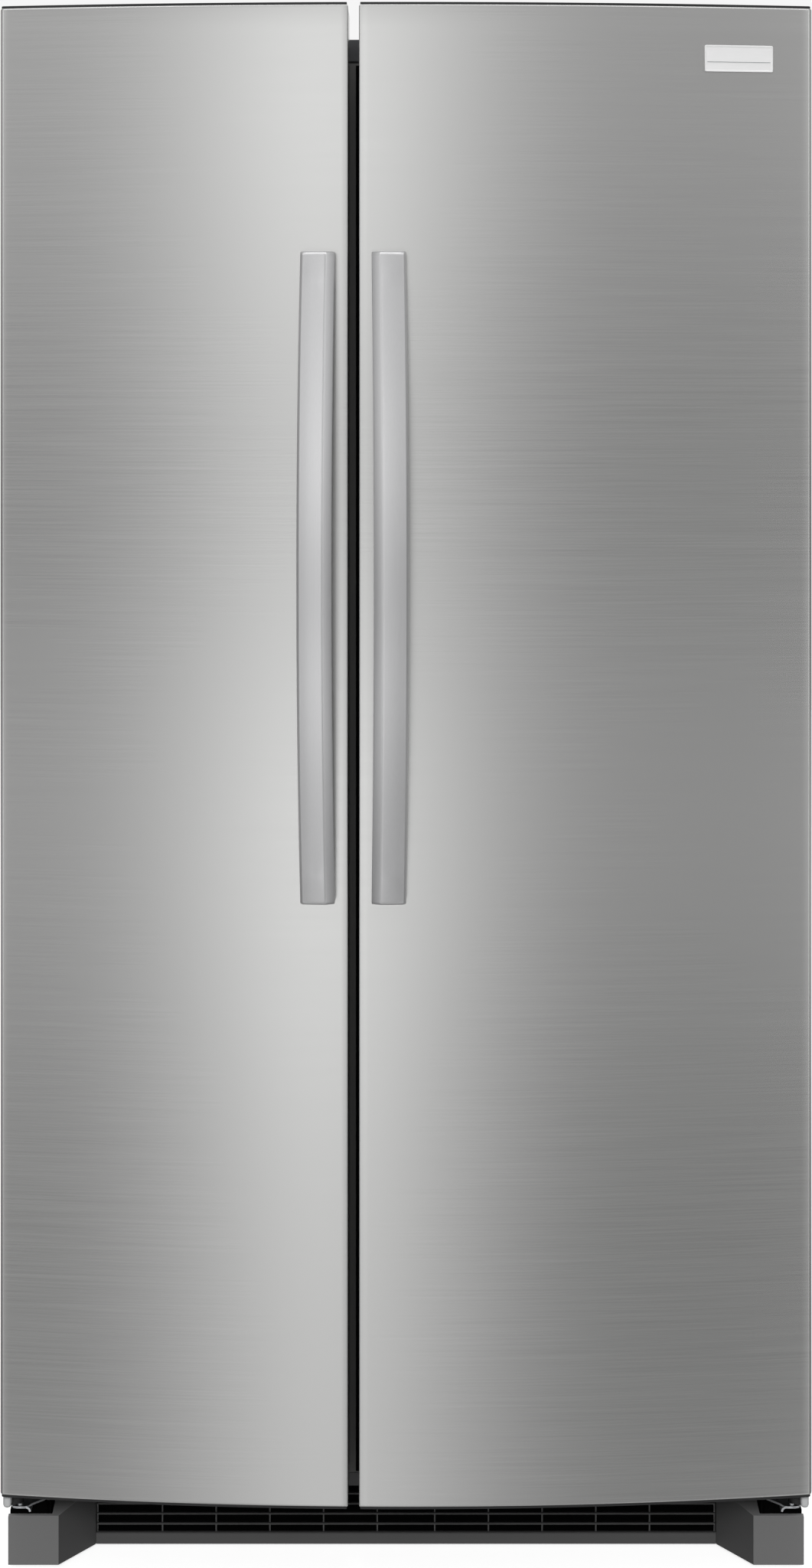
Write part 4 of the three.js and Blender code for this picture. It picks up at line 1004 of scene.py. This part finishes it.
def freezer_basket():
    """A coated wire basket: two border rings, hoops round the floor and walls, and a grip."""
    (x0, x1), (y0, y1), (z0, z1) = (-393, -98), (DRAWER_FRONT, 140), (156, 330)
    made = Build()
    for z, r, g in ((z1 - 2.6, 2.4, 0), (z1 - 30, 1.6, 1.2), (z0 + 70, 1.6, 5), (z0 + 34, 1.6, 7)):
        path = rounded((x0 + 2.6 + g, x1 - 2.6 - g), (y0 + 2.6 + g, y1 - 2.6 - g), 16, 5)
        made.tube([(a, b, z) for a, b in path], r, 8, closed=True)

    def hoop(start, end, across):
        """A wire down one wall, over the floor and up the other."""
        steps = arc(0, 0, 1, 180, 270, 4)
        lo, hi, r = start + 11, end - 11, 10
        left = [(lo + r + r * a, z0 + 12 + r * b) for a, b in steps]
        right = [(hi - r - r * a, z0 + 12 + r * b) for a, b in steps[::-1]]
        path = [(start + 3.2, z1 - 3)] + left + right + [(end - 3.2, z1 - 3)]
        made.tube([across(a, b) for a, b in path], 1.4, 6)

    for i in range(1, 14):
        x = x0 + (x1 - x0) * i / 14
        hoop(y0, y1, lambda a, b, x=x: (x, a, b))
    for i in range(1, 12):
        y = y0 + (y1 - y0) * i / 12
        hoop(x0, x1, lambda a, b, y=y: (a, y, b + 2.6))
    made.make("freezer_basket_wires", COAT, "freezer_basket", angle=60, replaces="freezer_basket")
    grip = Build().prism("x", [(y0, z1 - 26), (y0, z1 - 3), (y0 + 2, z1 - 0.6), (y0 + 9, z1 - 0.6),
                               (y0 + 9, z1 - 3), (y0 + 3, z1 - 4), (y0 + 3, z1 - 25)], x0 + 60, x1 - 60)
    grip.make("freezer_basket_grip", SATIN_WHITE, "freezer_basket", bevel=0.8, angle=30)


freezer_basket()


def evaporator_cover():
    """The freezer's rear cover: vents, a pressed border and a round grille over the fan."""
    x0, x1, y = -401.0, -90.0, 285.0
    mid, fan_z = (x0 + x1) / 2, FAN_Z
    holes = []
    for z in (400, 418, 436, 1290, 1308, 1500, 1518):
        for a in (mid - 122, mid + 12):
            holes.append(((a, a + 110), (z, z + 8)))
    holes.append(((mid - 52, mid + 52), (fan_z - 52, fan_z + 52)))
    panel = sheet((x0, x1), (347, 1698), holes, y).make(
        "evaporator_panel", WHITE, solidify=3.0, face=(0, -1, 0),
        replaces="evaporator_cover")
    panel.data.shade_flat()
    levels = ((0, y - 0.2), (1.5, y - 2.4), (4, y - 3.2), (6.5, y - 2.4), (8, y - 0.2))
    border = Build().pad("y", (x0 + 14, x1 - 14), (360, 1570), 14, 4, levels, closed=True)
    border.make("evaporator_panel_border", WHITE, angle=60)
    hood = Build().ring("y", (mid, fan_z), [(55, y - 0.2), (74, y - 0.2), (72, y - 4), (66, y - 8),
                                            (58, y - 9), (55, y - 7)], 48)
    hood.make("fan_grille_hood", SATIN_WHITE, angle=40)
    wires = Build()
    for r in (14, 24, 34, 44):
        wires.tube([(a, y - 5, b) for a, b in circle(mid, fan_z, r, 40)], 1.3, 6, closed=True)
    for k in range(8):
        t = math.radians(45 * k + 22.5)
        wires.tube([(mid + r * math.cos(t), y - 4.4, fan_z + r * math.sin(t)) for r in (4, 57)], 1.5, 6)
    wires.turn("y", (mid, fan_z), [(0, y - 7), (9, y - 7), (11, y - 5.5), (11, y - 3.6), (0, y - 3.6)],
               28)
    wires.make("fan_grille_rings", SATIN_WHITE, angle=45)
    motor = Build()
    motor.turn("y", (mid, fan_z), [(0, 320), (19, 320), (20, 321), (20, 352), (17, 355), (0, 355)], 32)
    motor.rod("y", (mid, fan_z), 3, 288, 320, 16)
    motor.box((mid - 66, mid + 66), (326, 329), (fan_z - 7, fan_z + 7))
    motor.make("evaporator_fan_motor", BLACK, angle=35)
    drips = Build()
    for row in range(9):
        drips.rod("x", (334, 560 + row * 50), 4.5, mid - 132, mid + 132, 12)
    drips.make("evaporator_tubes", ALUMINIUM, angle=40)
    fins = Build()
    for k in range(-16, 17):
        fins.box((mid + k * 8 - 0.3, mid + k * 8 + 0.3), (312, 356), (544, 976))
    fins.make("evaporator_fins", ALUMINIUM)


evaporator_cover()


def fan(name, axis, centre, base, radius, hub, depth):
    """A moulded fan: a cupped hub with a collar, and curved, pitched blades.

    centre is the axis across it, and base the height along it where the hub starts."""
    loop = [(3.7, 0), (hub - 1, 0), (hub, 1), (hub, depth - 2), (hub - 2, depth), (3.7, depth)]
    made = Build().ring(axis, centre, [(r, base + h) for r, h in loop], 28)
    chord = [(u, side * 0.75 * (1 - 0.8 * abs(u))) for u, side in
             ((-1, 1), (-0.5, 1), (0, 1), (0.5, 1), (1, 1), (0.5, -1), (0, -1), (-0.5, -1))]
    for k in range(FAN_BLADES):
        rings = []
        for t in (i / 8 for i in range(9)):
            r = hub - 1.5 + (radius - hub + 1.3) * t
            half = 0.36 - 0.05 * t
            ring = []
            for u, thick in chord:
                angle = 2 * math.pi * k / FAN_BLADES + 0.20 * t + half * u
                along = depth / 2 + u * depth * 0.36 + thick + 1.4 * (1 - u * u)
                ring.append(at(axis, centre[0] + r * math.cos(angle),
                               centre[1] + r * math.sin(angle), base + along))
            rings.append(ring)
        made.loft(rings)
    made.make(f"{name}_rotor", TRIM, name, angle=50, replaces=f"{name}_blade")


FAN_BLADES = 5
fan("evaporator_fan", "y", (-245.5, FAN_Z), 297.2, 49.6, 15, 13.6)
fan("condenser_fan", "x", (315, 155), 63.2, 63.6, 20, 15.6)


def ice_maker():
    """Housing, ice tray with its fingers, drive box and the wire arm that feels the ice."""
    body = Build()
    body.prism("x", [(70, 1626), (80, 1612), (275, 1612), (275, 1690), (84, 1690), (70, 1678)],
               -380, -152)
    body.make("ice_maker_housing", WHITE, bevel=2, angle=25, replaces="ice_maker")
    tray = Build().prism("x", [(96, 1611.6), (92, 1596), (104, 1584), (132, 1578), (160, 1584),
                               (172, 1596), (168, 1611.6)], -372, -152)
    tray.make("ice_tray", ALUMINIUM, bevel=1, angle=40)
    comb = Build()
    for k in range(8):
        x = -362 + k * 28
        comb.prism("x", [(94, 1604), (120, 1607.4), (120, 1611.4), (94, 1611.4)], x, x + 3)
    comb.make("ice_tray_fingers", SATIN_WHITE)
    drive = Build().pad("x", (62, 258), (1577, 1691), 9, 4,
                        ((0, -151.6), (0, -106), (1.2, -102), (4, -100.2)))
    drive.make("ice_maker_drive", SATIN_WHITE, angle=40)
    arm = Build().tube([(-150, 84, 1606), (-146, 66, 1600), (-150, 62, 1576), (-170, 61, 1566),
                        (-340, 61, 1566), (-360, 62, 1576), (-366, 66, 1596), (-368, 84, 1604)], 1.8, 8)
    arm.make("ice_level_arm", ZINC, angle=60)


ice_maker()


def control_housing():
    """The roof housing with its lamp lens, and the temperature dial on its face."""
    profile = [(-140, 1650), (-132, 1641), (-118, 1640), (120, 1640), (120, 1698), (-134, 1698),
               (-140, 1692)]
    box = Build().prism("x", profile, 10, 370)
    box.make("control_panel_housing", SATIN_WHITE, bevel=1.6, angle=25, replaces="control_housing")
    lens = Build().pad("z", (60, 320), (-70, 70), 12, 5, ((5, 1636.2), (1.5, 1637.2), (0, 1639.8)))
    lens.make("fresh_food_lamp_lens", LENS, angle=40)
    ribs = Build()
    for k in range(11):
        x = 74 + k * 23
        ribs.box((x, x + 2), (-58, 58), (1635.3, 1636.6))
    ribs.make("fresh_food_lamp_ribs", LENS, bevel=0.4)
    scale = Build()
    for k in range(9):
        t = math.radians(-135 + 270 * k / 8 + 90)
        a, b = math.cos(t), math.sin(t)
        scale.tube([(300 + r * a, -140.3, 1672 + r * b) for r in (19.5, 23.0)], 0.5, 6)
    scale.make("temperature_dial_marks", TRIM)
    knob = Build()
    knob.turn("y", (300, 1672), [(0, -154.4), (13.4, -154.4), (14.6, -153.4), (15.4, -144),
                                 (17, -142.6), (17, -140.8), (3.7, -140.8)], 40)
    grip = [(-2.6, -15.4), (2.6, -15.4), (3.2, 15.4), (-3.2, 15.4)]
    knob.loft([[(300 + a * g, y, 1672 + b * g) for a, b in grip]
               for g, y in ((1.0, -153.2), (0.94, -159), (0.8, -160.3))])
    knob.make("temperature_dial", GREY, "temperature_knob", angle=35, replaces="temperature_knob")
    mark = Build().tube([(300, -160.3, 1676), (300, -160.3, 1684)], 0.6, 6)
    mark.make("temperature_dial_pointer", SATIN_WHITE, "temperature_knob")


control_housing()


freezer_lens = Build().pad("z", (-330, -160), (-80, 30), 12, 5, ((5, 1690.6), (1.5, 1692), (0, 1699.4)))
freezer_lens.make("freezer_lamp_lens", LENS, angle=40)


def dairy_box():
    """A covered door compartment with a clear flap."""
    x, z, back = (60.0, 330.0), (1490.0, 1612.0), -168.0
    hood = Build()
    outer = rounded((x[0], x[1]), z, 10, 5)
    inner = rounded((x[0] + 2.6, x[1] - 2.6), (z[0] + 2.6, z[1] - 2.6), 7.4, 5)
    rings = [[(a, y, b) for a, b in path] for path, y in
             ((inner, DOOR_BACK + 3.4), (inner, back), (outer, back), (outer, DOOR_BACK + 0.6))]
    hood.loft(rings).make("dairy_compartment", CLEAR, "fresh_food_door", angle=40, replaces="dairy_box")
    flap = Build().pad("y", (x[0] + 1.5, x[1] - 1.5), (1493, 1611.6), 8, 5,
                       ((0.5, -166.8), (0, -166.3), (0, -164.4), (0.6, -163.8)))
    flap.make("dairy_flap_pane", CLEAR, "dairy_flap", angle=40, replaces="dairy_flap")
    pull = Build().pad("y", (150, 240), (1498, 1508), 3, 3, ((0, -163.9), (0, -162), (1.5, -160.6)))
    pull.make("dairy_flap_pull", SATIN_WHITE, "dairy_flap", angle=40)


dairy_box()

# ---- Machine compartment ----


def compressor():
    x, y, base = 255.0, 306.0, 63.4
    shell = Build()
    shell.turn("z", (x, y), [(0, base + 13), (60, base + 13), (70, base + 17), (76, base + 27),
                             (78, base + 78), (80, base + 80), (80, base + 86),
                             (77.4, base + 88), (76, base + 112), (70, base + 136),
                             (58, base + 152), (38, base + 162), (0, base + 166)], 56)
    shell.make("compressor_shell", BLACK, angle=40, replaces="compressor")
    plate = Build().pad("z", (x - 95, x + 95), (y - 61, y + 61), 14, 4,
                        ((0.6, base + 7.4), (0, base + 8), (0, base + 12), (0.6, base + 12.6)))
    plate.make("compressor_feet", BLACK, angle=40)
    studs = Build()
    for a in (-80, 80):
        for b in (-48, 48):
            studs.turn("z", (x + a, y + b), [(0, base), (10, base), (11, base + 2),
                                             (9, base + 4), (9, base + 6), (0, base + 6)], 20)
            studs.turn("z", (x + a, y + b), [(0, base + 12.8), (9, base + 12.8), (9, base + 15),
                                             (4, base + 17), (4, base + 20), (0, base + 20)], 20)
    studs.make("compressor_grommets", RUBBER, angle=40)
    box = Build()
    rings = [[(a, b, z) for a, b in rounded((x - 33 + g, x + 33 - g), (y - 103 + g, y - 74), 5, 4)]
             for g, z in ((1.5, base + 41), (0, base + 43), (0, base + 102), (2, base + 104.5))]
    box.loft(rings).make("compressor_terminal_cover", TRIM, angle=40)
    pipes = Build()
    pipes.tube([(232, 380, 150), (232, 396, 152), (230, 404, 172), (228, 406, 220),
                (200, 406, 262), (120, 405, 278), (20, 404, 280)], 4, 12)
    pipes.tube([(278, 380, 140), (280, 398, 142), (284, 405, 160), (290, 406, 240),
                (300, 400, 270), (330, 380, 290), (360, 330, 296)], 3, 10)
    pipes.make("refrigerant_tubes", COPPER, angle=60)


def condenser():
    """Tube rows with close wire fins between two end plates."""
    x, y, base = -160.0, 315.0, 91.4
    tubes = Build()
    for side in (-40, 40):
        path = []
        for row in range(5):
            z = base + 24 + row * 24
            ends = (-112, 112) if row % 2 == 0 else (112, -112)
            path += [(x + ends[0], y + side, z), (x + ends[1], y + side, z)]
            if row < 4:
                out = 1 if ends[1] > 0 else -1
                path += [(x + ends[1] + out * r, y + side, z + dz)
                         for r, dz in ((8, 3.5), (12, 12), (8, 20.5))]
        tubes.tube(path, 4, 10)
    tubes.make("condenser_tubes", BLACK, angle=60, replaces="condenser_coil")
    wires = Build()
    for side in (-40, 40):
        for k in range(-13, 14):
            for d in (-4.8, 4.8):
                wires.tube([(x + k * 8, y + side + d, base + 14), (x + k * 8, y + side + d, base + 130)],
                           0.8, 6)
    wires.make("condenser_wires", BLACK, angle=60)
    ends = Build()
    for a in (-120, 120):
        ends.box((x + a - 1.2, x + a + 1.2), (y - 58, y + 58), (63.6, base + 137))
    ends.make("condenser_end_plates", BLACK, bevel=0.4)
    pan = Build().tub((-310, -10), (225, 405), (63.6, 92), 2.4, 14, 6, draft=2, lip=2)
    pan.make("drain_pan", TRIM, angle=40)


compressor()
condenser()

# ---- Studio ----


def studio_world():
    """White to the camera, and a soft grey surround, bright in the middle, to everything else."""
    world = bpy.data.worlds.new("studio")
    SCENE.world = world
    world.use_nodes = True
    tree = world.node_tree
    tree.nodes.clear()

    def maths(operation, *values):
        made = add(tree, "Math")
        made.operation = operation
        for socket, value in zip(made.inputs, values):
            plug(tree, socket, value)
        return made.outputs[0]

    def ramp(angle, stops, low=-90, high=90):
        """Brightness by angle, in degrees."""
        spread = add(tree, "MapRange", From_Min=math.radians(low), From_Max=math.radians(high),
                     Value=angle)
        made = add(tree, "ValToRGB", Fac=spread.outputs["Result"])
        elements = made.color_ramp.elements
        while len(elements) < len(stops):
            elements.new(0.5)
        for place, (degrees, value) in enumerate(stops):
            elements[place].position = (degrees - low) / (high - low)
            elements[place].color = (value, value, value, 1)
        return made.outputs["Color"]

    def choose(which, otherwise, value):
        mix = add(tree, "Mix")
        mix.data_type = "FLOAT"
        feed(tree, mix, Factor=path.outputs[which], A=otherwise, B=value)
        return mix.outputs["Result"]

    path = add(tree, "LightPath")
    coords = add(tree, "TexCoord").outputs["Generated"]
    x, y, z = add(tree, "SeparateXYZ", Vector=coords).outputs
    across, upward = maths("ARCTAN2", x, maths("MULTIPLY", y, -1.0)), maths("ARCSINE", z)
    surround = maths("MULTIPLY", ramp(across, WALLS_AROUND, -180, 180), ramp(upward, WALLS_UP))
    screen = maths("MULTIPLY", ramp(across, SCREEN_AROUND, -45, 45), ramp(upward, SCREEN_UP))
    shine = maths("MULTIPLY", maths("ADD", surround, screen), SHINE)
    soft = maths("MULTIPLY", ramp(upward, AMBIENT_UP), AMBIENT)
    light = choose("Is Camera Ray", choose("Is Diffuse Ray", shine, soft), BACKDROP)
    back = add(tree, "Background", Strength=light)
    add(tree, "OutputWorld", Surface=back.outputs["Background"])


# What the metal mirrors: pale walls, and a lit screen a little left of the middle. Each stop is
# an angle in degrees and a brightness.
AMBIENT, SHINE, BACKDROP = 0.4, 1.25, 1.15
AMBIENT_UP = [(-90, 0.15), (-10, 0.15), (0, 0.3), (30, 0.9), (90, 1.2)]
WALLS_AROUND = [(-180, 1.0), (-125, 0.7), (-105, 0.45), (-78, 0.45), (-68, 0.8), (-60, 0.8), (-52, 0.5),
                (-45, 1.5), (-38, 1.5), (-31, 0.6), (31, 0.57), (38, 1.5), (45, 1.5), (52, 0.5),
                (60, 0.8), (68, 0.8), (78, 0.45), (105, 0.45), (125, 0.7), (180, 1.0)]
WALLS_UP = [(-90, 0.62), (-35, 0.62), (-29, 0.55), (-23.5, 0.33), (-19, 0.45), (-15, 0.88),
            (-12, 1.10), (-9.5, 1.22), (-8.5, 0.36), (-3.5, 0.28), (-1, 0.60), (3.5, 0.92),
            (8, 1.05), (13, 0.85), (35, 0.85), (60, 1.4), (75, 2.4), (90, 2.4)]
SCREEN_AROUND = [(-24, 0), (-19, 0.12), (-14, 0.42), (-9, 0.80), (-5.5, 1.2), (-2, 0.86),
                 (2, 0.47), (6, 0.21), (10, 0.0), (14, 0)]
SCREEN_UP = [(-90, 0.3), (-35, 0.55), (-24, 0.78), (-17, 0.98), (-12, 1.32), (-9.5, 1.40), (-8.5, 0.40),
             (-3.5, 0.38), (-1, 0.78), (3.5, 1.08), (8, 1.15), (12, 0.7), (25, 0.6), (45, 0.3), (90, 0.0)]
studio_world()


FLOOR_REACH = 9
FOCAL_LENGTH, SENSOR, SHIFT_UP = 67.3, 36.0, -0.245
EYE = (0.0, -3.637, 1.3357)


def floor():
    mesh = bpy.data.meshes.new("studio_floor")
    corners = [(x * FLOOR_REACH, y * FLOOR_REACH, 0) for x, y in ((-1, -1), (1, -1), (1, 1), (-1, 1))]
    mesh.from_pydata(corners, [], [(0, 1, 2, 3)])
    made = bpy.data.objects.new("studio_floor", mesh)
    SCENE.collection.objects.link(made)
    pale = material("floor_pale", "floor", (238, 242), (0.7, 0.8), 30, 4,
                    Emission_Color=(1, 1, 1, 1), Emission_Strength=0.75)
    mesh.materials.append(pale)
    made.visible_glossy = made.visible_diffuse = False


def softbox(name, place, target, size, power):
    """A soft rectangular light that the camera doesn't see."""
    lamp = bpy.data.lights.new(name, "AREA")
    lamp.shape, lamp.size, lamp.size_y, lamp.energy = "RECTANGLE", size[0], size[1], power
    made = bpy.data.objects.new(name, lamp)
    made.location = place
    made.rotation_euler = (Vector(target) - Vector(place)).to_track_quat("-Z", "Y").to_euler()
    made.visible_camera = made.visible_glossy = False
    SCENE.collection.objects.link(made)


def camera():
    """Level, at eye height, in front of the middle of the doors."""
    lens = bpy.data.cameras.new("camera")
    lens.lens, lens.sensor_width, lens.shift_y = FOCAL_LENGTH, SENSOR, SHIFT_UP
    lens.clip_start, lens.clip_end = 0.05, 60.0
    made = bpy.data.objects.new("camera", lens)
    made.location = EYE
    made.rotation_euler = (math.pi / 2, 0, 0)
    SCENE.collection.objects.link(made)
    SCENE.camera = made


floor()
softbox("front_light", (0, -4.4, 2.0), (0, 0, 0.9), (2.6, 1.2), 110)
softbox("overhead_light", (0, -1.2, 4.4), (0, 0, 0.9), (3.2, 2.4), 60)
camera()
SCENE.view_settings.view_transform = "Standard"
SCENE.view_settings.look = "None"
